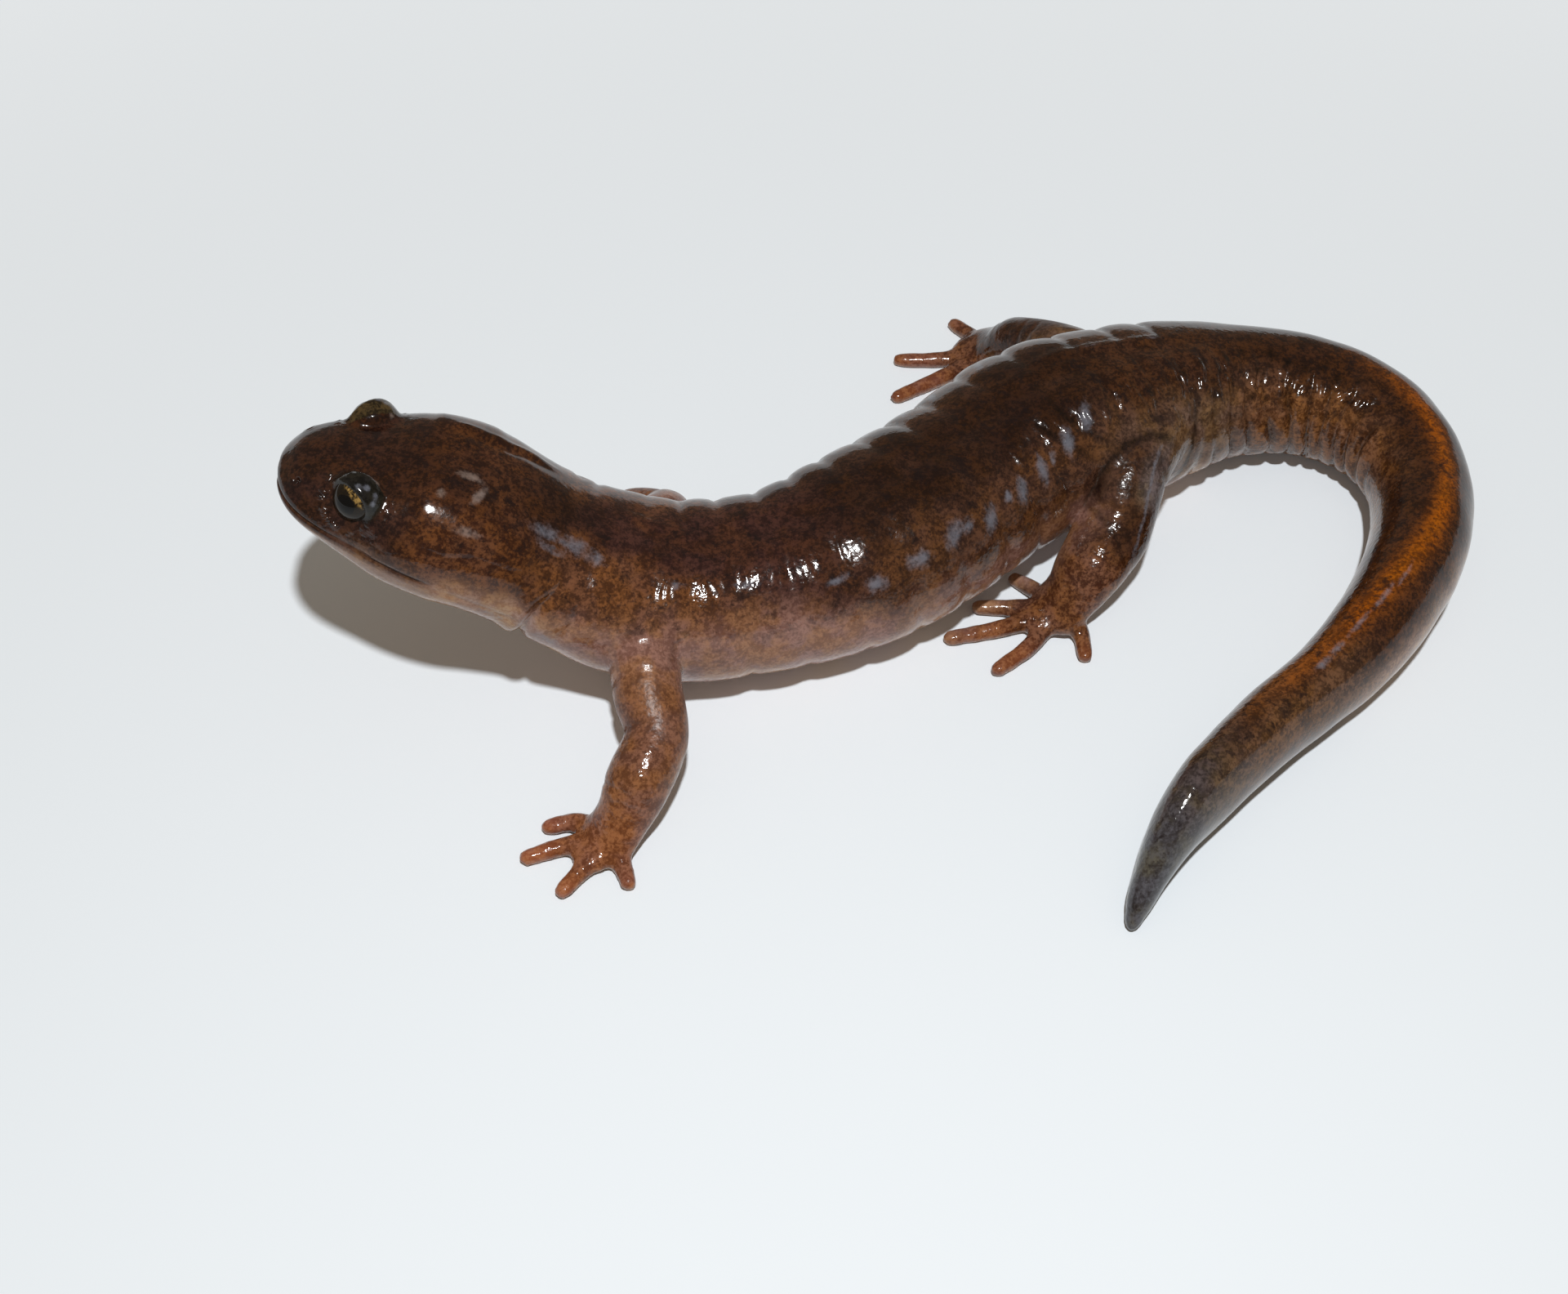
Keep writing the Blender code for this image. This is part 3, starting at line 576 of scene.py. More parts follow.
limbs = {
    # bone line with half widths and half heights from root to knuckles, then the digits
    "left_arm": {
        "bones": [
            (-15.9, -7.0, 5.8, 2.3, 2.3), (-15.7, -9.8, 5.8, 2.15, 2.15), (-15.5, -11.9, 5.2, 2.05, 2.05),
            (-14.9, -14.3, 4.2, 1.85, 1.85), (-15.95, -17.0, 3.15, 1.92, 1.82), (-17.0, -18.6, 1.5, 1.7, 1.25),
            (-17.9, -19.5, 0.73, 1.8, 0.85), (-18.5, -20.1, 0.58, 1.3, 0.65),
        ],
        # distance from the root, side that it faces, depth, half width
        "creases": [
            (7.2, (-1, 0, 0.3), 0.22, 0.16), (7.9, (-1, 0, 0.2), 0.2, 0.14), (4.6, (-1, 0, 0.6), 0.12, 0.2),
            (12.1, (0.3, 0, 1), 0.1, 0.2), (11.4, (-1, -0.5, 0.4), 0.1, 0.16), (3.3, (0.6, 0, 0.8), 0.12, 0.22),
        ],
        "digits": [
            [(-18.0, -18.6, 0.58), (-19.7, -17.9, 0.38), (-21.2, -18.2, 0.28)],
            [(-18.2, -19.3, 0.58), (-20.3, -19.6, 0.38), (-22.3, -20.3, 0.28)],
            [(-18.1, -19.9, 0.58), (-19.1, -21.2, 0.38), (-20.1, -22.5, 0.28)],
            [(-17.4, -19.6, 0.58), (-16.8, -20.9, 0.38), (-16.4, -22.0, 0.28)],
        ],
    },
    "right_arm": {
        "bones": [
            (-15.9, -1.6, 5.8, 2.2, 2.3), (-15.5, 0.6, 5.5, 1.95, 2.0), (-15.0, 2.0, 4.9, 1.75, 1.8),
            (-15.4, 3.1, 3.9, 1.6, 1.6), (-17.2, 4.4, 2.7, 1.7, 1.55), (-18.7, 5.1, 1.5, 1.5, 1.2),
            (-19.7, 5.6, 0.73, 1.7, 0.85), (-20.4, 5.9, 0.58, 1.3, 0.65),
        ],
        "creases": [
            (5.8, (-1, 0, 0.2), 0.2, 0.16), (6.5, (-1, -0.3, 0.2), 0.16, 0.14), (11.0, (0.3, 0, 1), 0.1, 0.2),
        ],
        "digits": [
            [(-19.8, 4.6, 0.58), (-21.2, 3.7, 0.38), (-22.5, 3.4, 0.28)],
            [(-20.1, 5.4, 0.58), (-22.2, 5.2, 0.38), (-24.1, 5.4, 0.28)],
            [(-20.1, 6.0, 0.58), (-21.8, 6.8, 0.38), (-23.2, 7.6, 0.28)],
            [(-19.5, 6.2, 0.58), (-19.8, 7.4, 0.38), (-20.1, 8.2, 0.28)],
        ],
    },
    "left_leg": {
        "bones": [
            (17.5, 10.4, 6.1, 2.5, 2.7), (15.8, 7.6, 6.5, 2.55, 2.7), (14.3, 4.6, 6.0, 2.5, 2.55),
            (13.1, 1.4, 4.0, 2.45, 2.15), (11.6, -0.8, 2.95, 2.15, 1.95), (10.5, -1.8, 1.65, 1.9, 1.35),
            (9.5, -2.3, 0.83, 2.0, 0.95), (8.8, -2.6, 0.68, 1.5, 0.75),
        ],
        "creases": [
            (9.6, (-1, 0.2, 0.3), 0.18, 0.18), (10.4, (-1, 0.2, 0.3), 0.16, 0.14), (12.9, (0.3, 0, 1), 0.1, 0.2),
            (6.5, (1, 0.2, 0.2), 0.2, 0.22),
        ],
        "digits": [
            [(9.2, -1.0, 0.58), (8.3, 0.0, 0.43), (7.4, 0.7, 0.33)],
            [(8.9, -1.8, 0.58), (6.8, -1.7, 0.43), (4.9, -1.6, 0.33)],
            [(8.9, -2.5, 0.58), (6.1, -3.4, 0.38), (3.0, -4.1, 0.3)],
            [(9.4, -2.7, 0.58), (7.9, -4.8, 0.38), (5.8, -6.6, 0.3)],
            [(10.7, -2.3, 0.58), (11.2, -3.9, 0.38), (11.3, -5.5, 0.3)],
        ],
    },
    "right_leg": {
        "bones": [
            (15.0, 14.0, 4.6, 2.3, 2.4), (12.9, 15.9, 4.6, 2.3, 2.3), (11.2, 17.5, 4.3, 2.2, 2.15),
            (10.0, 19.0, 3.6, 1.9, 1.95), (8.5, 20.5, 2.5, 1.8, 1.75), (7.5, 21.3, 1.5, 1.75, 1.3),
            (6.4, 21.6, 0.83, 1.9, 0.95), (5.8, 21.5, 0.68, 1.5, 0.75),
        ],
        "creases": [
            (6.6, (-1, -0.3, 0.3), 0.07, 0.18), (7.4, (-1, -0.3, 0.3), 0.06, 0.14), (10.0, (0.3, 0, 1), 0.1, 0.2),
        ],
        "digits": [
            [(6.8, 22.2, 0.58), (5.7, 23.8, 0.38), (4.8, 24.8, 0.3)],
            [(6.1, 21.5, 0.58), (3.5, 21.1, 0.38), (0.7, 21.1, 0.3)],
            [(6.2, 20.8, 0.58), (3.3, 19.1, 0.38), (0.4, 17.4, 0.3)],
            [(6.9, 20.3, 0.58), (5.2, 17.9, 0.38), (4.0, 16.2, 0.3)],
            [(7.6, 20.3, 0.58), (7.2, 18.8, 0.38), (6.7, 17.9, 0.3)],
        ],
    },
}

limbSkin = {
    "digitRadii": (0.64, 0.57, 0.50),
    "flatness": 0.92,
    "lift": 0.75,
    "around": 32,
    "digitAround": 16,
    "spacing": 0.4,
    "voxel": 0.22,
    "regrow": 0.04,
    "digitsFrom": 14.0,
    "knuckleSpacing": 1.5,
    "knuckleDepth": 0.02,
}


def limbPlaces(points, chosen):
    # how far along its limb each point is, whether that is an arm (1) or a leg (0), and whether it is on a digit
    reach, arms, digit = np.zeros(len(points)), np.zeros(len(points)), np.zeros(len(points))
    nearest = np.full(len(points), 99.0)
    for name, limb in chosen.items():
        for k, line in enumerate([[b[:3] for b in limb["bones"]]] + limb["digits"]):
            line = np.array(line) + np.array(body["place"])
            done = 0.0 if k == 0 else limbSkin["digitsFrom"]
            for a, b in zip(line, line[1:]):
                span = b - a
                t = np.clip((points - a) @ span / (span @ span), 0, 1)
                away = np.linalg.norm(points - a - t[:, None] * span, axis=1)
                away = away + (0.0 if k else -0.2)
                closer = away < nearest
                nearest = np.where(closer, away, nearest)
                reach = np.where(closer, done + t * np.linalg.norm(span), reach)
                arms = np.where(closer, float("arm" in name), arms)
                digit = np.where(closer, float(k > 0), digit)
                done += np.linalg.norm(span)
    return np.where(nearest < 3.5, reach, -1.0), arms, digit


def limbTube(name, stations, around, spacing):
    rows = np.array(stations, float)
    rows[:, :3] += np.array(body["place"])
    keys = np.concatenate(([0], np.cumsum(np.linalg.norm(np.diff(rows[:, :3], axis=0), axis=1))))
    at = np.linspace(0, keys[-1], max(4, round(keys[-1] / spacing) + 1))
    path = np.stack([smoothCurve(keys, rows[:, k], at) for k in range(5)], axis=1)
    tangents = unit(np.gradient(path[:, :3], at, axis=0))
    spots = [(path[0, :3], tangents[0], 0.0, 0.0)]
    spots += [(p[:3], t, p[3], p[4]) for p, t in zip(path, tangents)]
    centre, tangent, width, height = spots[-1]
    for lean in (20, 40, 60, 75, 90):
        out, shrink = math.sin(math.radians(lean)), math.cos(math.radians(lean))
        spots.append((centre + tangent * width * out, tangent, width * shrink, height * shrink))
    turns = np.linspace(0, 2 * math.pi, around + 1)
    grid = []
    for centre, tangent, width, height in spots:
        left = unit(np.cross(tangent, (0, 0, 1)))
        up = np.cross(left, tangent)
        grid.append(centre + np.outer(np.cos(turns) * width, left) + np.outer(np.sin(turns) * height, up))
    grid = np.array(grid)
    grid[:, -1] = grid[:, 0]
    grid[0] = grid[0, 0]
    grid[-1] = grid[-1, 0]
    return wrapTube(name, grid)


def makeLimb(name, limb):
    tubes = [limbTube(name, limb["bones"], limbSkin["around"], limbSkin["spacing"])]
    for points in limb["digits"]:
        rows = [
            (x, y, max(z, r * limbSkin["lift"]), r, r * limbSkin["flatness"])
            for (x, y, z), r in zip(points, limbSkin["digitRadii"])
        ]
        tubes.append(limbTube("digit", rows, limbSkin["digitAround"], limbSkin["spacing"]))
    bm = bmesh.new()
    for tube in tubes:
        bm.from_mesh(tube.data)
        bpy.data.objects.remove(tube)
    limbObject = addObject(name, bm)
    applyModifier(limbObject, "REMESH", mode="VOXEL", voxel_size=limbSkin["voxel"], adaptivity=0.0)
    mesh = limbObject.data
    points = relax(readPoints(mesh), readEdges(mesh), np.ones(len(mesh.vertices)), 3)
    writePoints(mesh, points)
    normals = readNormals(mesh)
    reach, _, digit = limbPlaces(points, {name: limb})
    shift = np.full(len(points), limbSkin["regrow"])
    for place, side, depth, width in limb["creases"]:
        facing = fade(0.0, 0.8, normals @ unit(np.array(side, float)))
        wavy = place + 0.3 * softNoise(points, 1.7, place)
        shift -= depth * bell(reach - wavy, width) * facing * (1 - digit)
    knuckles = 0.5 - 0.5 * np.cos((reach - limbSkin["digitsFrom"]) * 2 * math.pi / limbSkin["knuckleSpacing"])
    shift -= limbSkin["knuckleDepth"] * knuckles * digit
    shift += 0.05 * softNoise(points, 1.5, 2.0) * (1 - digit)
    writePoints(mesh, points + normals * shift[:, None])
    return limbObject


def joinLimbs(trunk, parts):
    pool = bpy.data.collections.new("limbs")
    bpy.context.scene.collection.children.link(pool)
    for part in parts:
        pool.objects.link(part)
    trunkTree = KDTree(len(trunk.data.vertices))
    for k, vert in enumerate(trunk.data.vertices):
        trunkTree.insert(vert.co, k)
    trunkTree.balance()
    applyModifier(trunk, "BOOLEAN", operation="UNION", operand_type="COLLECTION", collection=pool, solver="EXACT")
    for part in parts:
        bpy.data.objects.remove(part)
    bpy.data.collections.remove(pool)
    # the union leaves corners with two edges only, which would fold into stray triangles
    bm = bmesh.new()
    bm.from_mesh(trunk.data)
    bmesh.ops.dissolve_verts(bm, verts=[v for v in bm.verts if len(v.link_edges) == 2])
    bm.to_mesh(trunk.data)
    bm.free()
    # the line where limb and trunk meet is softened into a crease
    mesh = trunk.data
    points = readPoints(mesh)
    edges = readEdges(mesh)
    fromTrunk = np.array([trunkTree.find(p)[2] < 1e-4 for p in points])
    weights = np.zeros(len(points))
    mixed = fromTrunk[edges[:, 0]] != fromTrunk[edges[:, 1]]
    weights[edges[mixed].ravel()] = 1.0
    for k in range(7):
        spread = weights.copy()
        np.maximum.at(spread, edges[:, 0], weights[edges[:, 1]] * 0.86)
        np.maximum.at(spread, edges[:, 1], weights[edges[:, 0]] * 0.86)
        weights = spread
    points = relax(points, edges, weights, 14)
    writePoints(mesh, points)


trunk = makeTrunk()
print("trunk faces", len(trunk.data.polygons))
parts = [makeLimb(name, limb) for name, limb in limbs.items()]
print("limb faces", [len(part.data.polygons) for part in parts])
joinLimbs(trunk, parts)
print("skin joined", len(trunk.data.vertices), "points")


def settle(points):
    # everything that reaches the floor is flattened on it
    low = points[:, 2] < 0.25
    points[low, 2] = np.maximum(points[low, 2], 0.0)
    return points


writePoints(trunk.data, settle(readPoints(trunk.data)))


# markings, painted shade in creases and painted sheen: broad colours per point, broken up by noise in the material

paint = {
    # ground colour, fleck colour
    "back": ((0.011, 0.004, 0.0028), (0.031, 0.0113, 0.006)),
    "frontBack": ((0.0235, 0.0085, 0.0075), (0.066, 0.025, 0.019)),
    "neck": ((0.052, 0.0195, 0.0095), (0.165, 0.066, 0.031)),
    "upperFlank": ((0.034, 0.014, 0.0085), (0.105, 0.045, 0.024)),
    "flank": ((0.178, 0.083, 0.062), (0.3, 0.158, 0.122)),
    "belly": ((0.42, 0.24, 0.2), (0.51, 0.345, 0.305)),
    "head": ((0.013, 0.0046, 0.003), (0.046, 0.016, 0.0075)),
    "cheek": ((0.032, 0.01, 0.0052), (0.12, 0.045, 0.019)),
    "snoutSide": ((0.0125, 0.0054, 0.0048), (0.046, 0.0185, 0.0125)),
    "lip": ((0.045, 0.02, 0.013), (0.125, 0.064, 0.043)),
    "jaw": ((0.195, 0.088, 0.045), (0.27, 0.145, 0.085)),
    "throat": ((0.235, 0.105, 0.055), (0.335, 0.19, 0.125)),
    "throatRear": ((0.245, 0.135, 0.098), (0.35, 0.24, 0.205)),
    "tail": ((0.015, 0.0055, 0.0034), (0.055, 0.0195, 0.008)),
    # the tail's sides: own colour with a painted sheen mixed in, paler and greyer than the skin itself
    "tailSideAndSheen": ((0.14, 0.066, 0.038), (0.3, 0.175, 0.11)),
    "bend": ((0.066, 0.025, 0.0105), (0.215, 0.096, 0.046)),
    # the hips' sides: own colour with a painted sheen mixed in, paler and greyer than the skin itself
    "hipSideAndSheen": ((0.085, 0.047, 0.031), (0.185, 0.11, 0.076)),
    "tailBase": ((0.018, 0.006, 0.0034), (0.066, 0.025, 0.011)),
    "tailFar": ((0.052, 0.0235, 0.0115), (0.15, 0.072, 0.036)),
    "tailTip": ((0.04, 0.036, 0.039), (0.086, 0.084, 0.096)),
    "stripe": ((0.125, 0.032, 0.0006), (0.35, 0.092, 0.0012)),
    "arm": ((0.1, 0.039, 0.022), (0.235, 0.104, 0.061)),
    "hand": ((0.12, 0.039, 0.0185), (0.28, 0.116, 0.065)),
    "leg": ((0.017, 0.0062, 0.0036), (0.06, 0.024, 0.013)),
    "foot": ((0.056, 0.0186, 0.0098), (0.2, 0.086, 0.047)),
    "tips": ((0.26, 0.082, 0.048), (0.35, 0.145, 0.095)),
    "under": ((0.24, 0.125, 0.088), (0.33, 0.2, 0.155)),
    # pale fold behind the thigh, lightened further by a painted sheen
    "flapPaleAndSheen": ((0.13, 0.105, 0.105), (0.27, 0.235, 0.245)),
    "lid": ((0.003, 0.0029, 0.003), (0.013, 0.012, 0.0115)),
    "farLid": ((0.012, 0.0082, 0.0052), (0.068, 0.047, 0.026)),
    "mouth": ((0.04, 0.017, 0.011), (0.07, 0.033, 0.023)),
}

pale = {
    # smooth blue-grey patches, and painted reflections on the back and the tail: distance, degrees, half length along
    # the body, half length round it
    "cheek": [(10.3, 80, 0.75, 0.3), (10.9, 70, 0.25, 0.8), (10.8, 47, 0.8, 0.3), (9.1, 64, 0.3, 0.25)],
    "neck": [(14.6, 67, 1.5, 0.5), (16.5, 67, 1.6, 0.65), (17.9, 64, 0.8, 0.5), (14.8, 58, 1.2, 0.25)],
    "throat": [(17.4, -12, 1.0, 0.7), (14.0, -14, 1.3, 0.3)],
    "flank": [
        (52.6, 58, 0.5, 0.95), (50.6, 50, 0.6, 1.0), (48.9, 46, 0.36, 0.5), (47.6, 44, 0.55, 1.0),
        (45.3, 41, 0.62, 1.0), (44.1, 43, 0.36, 0.5), (42.4, 38, 0.62, 0.9), (40.9, 42, 0.36, 0.45),
        (39.9, 41, 0.7, 0.85), (37.6, 38, 0.7, 0.65), (35.2, 35, 0.6, 0.6), (33.4, 45, 0.8, 0.3),
        (28.5, 55, 1.0, 0.2), (24.0, 58, 0.8, 0.2),
    ],
    "otherFlank": [
        (50.2, 131, 0.32, 0.9), (46.8, 136, 0.32, 0.9), (44.4, 139, 0.36, 0.9), (41.0, 142, 0.36, 0.8),
        (38.2, 139, 0.4, 0.9),
    ],
    # painted reflections along the ridges on the back of the hips
    "backLineReflections": [
        (52.0, 104, 0.8, 0.1), (53.9, 104, 0.7, 0.12), (55.8, 102.5, 0.9, 0.1), (57.9, 100.5, 0.8, 0.1),
        (60.0, 99.5, 0.8, 0.08), (50.4, 98.6, 0.7, 0.09), (52.4, 95, 0.8, 0.1), (54.4, 92, 0.8, 0.08),
    ],
    # painted sheen along the top of the tail
    "tail": [
        (102.4, 95, 0.9, 0.42), (100.8, 91, 0.9, 0.36), (98.5, 88, 1.4, 0.27), (96.0, 90, 1.3, 0.27),
        (94.0, 96, 1.3, 0.22),
    ],
}

paleStrengths = {
    "cheek": 1.0, "neck": 0.78, "throat": 0.78, "flank": 1.0, "otherFlank": 1.0, "backLineReflections": 0.6, "tail": 0.78,
}

paleTints = {"head": (0.255, 0.190, 0.160), "body": (0.172, 0.182, 0.222)}

# distance, degrees and radius of the dark spots on the tail's base
darkSpots = [
    (60.4, 66, 0.26), (62.2, 70, 0.34), (63.4, 62, 0.26), (64.4, 73, 0.28), (66.0, 80, 0.26), (67.0, 63, 0.24),
    (68.3, 79, 0.36), (69.6, 73, 0.34), (71.0, 70, 0.38), (72.4, 74, 0.32), (73.6, 67, 0.34), (75.0, 72, 0.28),
    (66.2, 40, 0.3), (67.6, 38, 0.28), (69.0, 41, 0.26),
]


# pale specks on the upper lids: forward, upward and outward from the eye's middle
lidSpots = {
    "places": [(0.0, 0.91, 0.41), (-0.41, 0.87, 0.27), (-0.04, 0.96, -0.2), (0.23, 0.77, 0.59), (-0.6, 0.67, 0.43)],
    "radius": 0.14,
}


def palePatches(along, turn):
    width, above = sectionAt(along)[:2]
    girth = (width + above) / 2
    degrees = np.degrees(turn)
    mask = np.zeros(len(along))
    for area, spots in pale.items():
        for place, angle, length, height in spots:
            away = np.radians((degrees - angle + 180) % 360 - 180) * girth
            lean = along - place - 0.35 * away * (length < height)
            patch = np.exp(-((lean / length) ** 2) - (away / height) ** 2)
            mask = np.maximum(mask, paleStrengths[area] * patch)
    return mask


def paintSkin(obj):
    mesh = obj.data
    points = readPoints(mesh)
    along, across, rise = bodyPlaces(points)
    width, above, below = sectionAt(along)[:3]
    high = rise / np.where(rise > 0, above, below).clip(0.3)     # 1 on the back, -1 under the belly
    ground = np.empty((len(points), 3))
    fleck = np.empty((len(points), 3))
    ground[:], fleck[:] = paint["back"]

    def lay(name, mask):
        mask = np.clip(mask, 0, 1)[:, None]
        ground[:] = ground * (1 - mask) + np.array(paint[name][0]) * mask
        fleck[:] = fleck * (1 - mask) + np.array(paint[name][1]) * mask

    wander = 0.12 * softNoise(points, 2.2, 7.0)
    level = high + wander
    tail = fade(62, 72, along)
    lay("upperFlank", fade(1.0, 0.72, level) * (1 - tail))
    lay("frontBack", fade(14, 20, along) * fade(37, 31, along) * fade(1.25, 0.95, level))
    lay("neck", fade(13, 16, along) * fade(31, 25, along) * fade(1.0, 0.8, level))
    lay("flank", fade(0.42, -0.15, level - 0.42 * fade(16, 22, along) * fade(37, 31, along)) * (1 - tail))
    lay("tailBase", fade(53, 57, along) * fade(70, 64, along))
    # the hips' sides take their own colour with a painted sheen mixed in
    lay("hipSideAndSheen", fade(51, 57, along) * fade(82, 74, along) * fade(0.95, 0.5, level))
    lay("belly", fade(-0.05, -0.7, level) * (1 - tail))
    onHead = fade(16, 12, along)
    lay("head", onHead * fade(-0.6, -0.1, level))
    lay("cheek", onHead * fade(0.85, 0.5, level - 0.3 * fade(6, 9, along)) * fade(-0.6, -0.1, level))
    lay("snoutSide", fade(9.5, 6, along) * fade(1.1, 0.8, level))
    lay("lip", fade(3, 6, along) * fade(10, 8.5, along) * fade(0.35, 0.0, level))
    lay("throat", fade(18.5, 14, along) * fade(0.3, -0.12, level) * fade(8.6, 10.6, along))
    lay("throatRear", fade(19.5, 15.5, along) * fade(0.25, -0.2, level) * fade(12.6, 14.6, along))
    lay("jaw", fade(10.5, 8.5, along) * fade(-0.05, -0.25, rise / 3))
    mouthLine = rise + head["mouthDrop"] * (along / head["mouthEnd"]) ** 2
    lay("mouth", fade(10.0, 8.8, along) * bell(mouthLine, 0.11))
    lay("tail", tail)
    # the tail's sides take their own colour with a painted sheen mixed in
    lay("tailSideAndSheen", tail * fade(0.7, 0.0, level) * fade(116, 100, along) * (1 - 0.75 * fade(82, 74, along)))
    lay("bend", fade(62, 68, along) * fade(88, 80, along) * fade(0.97, 0.6, level) * (across > 0))
    pastBend = (0.28 * fade(86, 92, along) * fade(108, 102, along))[:, None]
    ground *= 1 + pastBend
    fleck *= 1 + pastBend
    lay("tailFar", fade(97, 103, along) * fade(1.1, 0.85, level))
    stripe = fade(71, 80, along) * fade(111, 102, along)
    middle = np.interp(along, (70, 86, 90, 93, 97, 101, 107), (102, 104, 100, 92, 80, 76, 76))
    degrees = np.degrees(np.arctan2(rise / above.clip(0.3), across / width.clip(0.3)))
    spread = np.interp(along, (70, 88, 98), (11, 13, 20))
    stripe *= bell(degrees - middle + 20 * wander, spread)
    lay("stripe", stripe * (0.9 + 1.5 * wander - 0.25 * fade(96, 100, along)))
    lay("tailTip", fade(108, 117.5, along - 4 * wander))

    outside = np.sqrt((across / width.clip(0.3)) ** 2 + (rise / np.where(rise > 0, above, below).clip(0.3)) ** 2)
    reach, arms, digit = limbPlaces(points, limbs)
    onLimb = fade(1.06, 1.5, outside) * (reach >= 0)
    thigh = np.hypot(along - 54.8, np.radians(degrees - 20) * (width + above) / 2)
    lay("leg", 0.8 * fade(2.6, 1.2, thigh) * (across > 0))
    lay("arm", onLimb * arms)
    lay("leg", onLimb * (1 - arms))
    lay("hand", onLimb * arms * fade(10, 14, reach))
    lay("foot", onLimb * (1 - arms) * fade(11, 14, reach))
    normals = readNormals(mesh)
    lay("under", onLimb * fade(0.35, -0.45, normals[:, 2]) * 0.75)
    rear = unit(np.array([0.85, -0.45, 0.1]))
    onThigh = onLimb * (1 - arms) * fade(0.2, 1.5, reach) * fade(9.5, 7.5, reach)
    # pale fold with a painted sheen where the thigh's rear side faces the lamp and camera
    lay("flapPaleAndSheen", 0.8 * onThigh * fade(0.4, 0.8, normals @ rear))
    lay("tips", onLimb * fade(15.6, 17.8, reach) * digit * (0.45 + 0.4 * arms))

    # painted shade in the tail's wrinkles and along the thigh, groin and hip folds, together with the tail base's own
    # dark spots
    creaseShadeAndSpots = 0.62 * tailWrinkles(along, np.radians(degrees), points)[1]
    for name in ("thighEdge", "thighFold", "groinFold", "hipFold"):
        creaseShadeAndSpots = np.maximum(creaseShadeAndSpots, 0.75 * furrow(along, np.radians(degrees), folds[name][0], 0.22))
    for place, angle, radius in darkSpots:
        away = np.hypot(along - place, np.radians(degrees - angle) * (width + above) / 2)
        creaseShadeAndSpots = np.maximum(creaseShadeAndSpots, 0.85 * bell(away * (1 + 2.5 * wander), radius))
    ground *= 1 - creaseShadeAndSpots[:, None]
    fleck *= 1 - creaseShadeAndSpots[:, None]

    lid = np.zeros(len(points))
    lidSpecks = np.zeros(len(points))
    for side in (1, -1):
        spot, gaze, ahead, top = eyeFrame(side)
        q = points - spot
        size = np.linalg.norm(q, axis=1)
        q = unit(q)
        cover = fade(1.9, 1.6, size) * fade(-0.45, 0.15, q @ top) * (q @ gaze > -0.1)
        lay("lid" if side > 0 else "farLid", cover)
        lid = np.maximum(lid, cover)
        for forward, high, out in lidSpots["places"]:
            spot = unit(ahead * forward + top * high + gaze * out)
            lidSpecks += bell(np.linalg.norm(q - spot, axis=1), lidSpots["radius"]) * (size < 1.7)

    warm = fade(14, 10, along)[:, None] * (1 - lid[:, None])
    paleTint = np.array(paleTints["head"]) * warm + np.array(paleTints["body"]) * (1 - warm)
    for name, values in (("ground", ground), ("fleck", fleck), ("paleTint", paleTint)):
        layer = mesh.attributes.new(name, "FLOAT_COLOR", "POINT")
        layer.data.foreach_set("color", np.column_stack((values, np.ones(len(values)))).ravel())
    glint = 0.25 + 0.14 * fade(13, 20, along)
    glint = glint * (1 - 0.6 * fade(96, 118, np.abs(degrees))) + 0.2 * onLimb
    band = bell(degrees - 56, 16)
    creased = band * (0.12 * fade(18, 22, along) + 0.38 * fade(48, 55, along)) * fade(79, 73, along) * (1 - onLimb)
    phase = along + 0.6 * softNoise(points, 1.3, 6.0)
    for side in (1, -1):
        spot, gaze, ahead, top = eyeFrame(side)
        away = np.linalg.norm(points - spot, axis=1)
        glint += 0.3 * fade(1.45, 1.6, away) * fade(3.3, 2.2, away)
        broken = fade(-0.1, 0.2, softNoise(points, 0.5, 8.0))
        glint += 2.2 * broken * bell(away - 2.0, 0.12) * fade(0.2, -0.15, unit(points - spot) @ top)
    dull = onLimb * fade(1.5, 3.5, reach) * fade(9.5, 7.5, reach)
    blotch = (0.3 + 0.7 * fade(0.1, 0.75, level)) * fade(-0.7, 0.1, level) * (1 - lid) * (1 - 0.4 * onLimb)
    # pale patches, with the painted reflections on the back and the tail
    patches = palePatches(along, np.arctan2(rise / above.clip(0.3), across / width.clip(0.3))) * (1 - onLimb)
    # painted sheen as a pale line along the edge of the flap behind the thigh
    flapLine = 0.8 * furrow(along, np.radians(degrees), folds["flapLine"][0], 0.15)
    patches = np.maximum(np.maximum(patches, lidSpecks), flapLine)
    addMasks(mesh, blotch=blotch, glint=glint, pale=patches, dull=dull, creased=creased, phase=phase)


paintSkin(trunk)
print("skin painted")


# materials

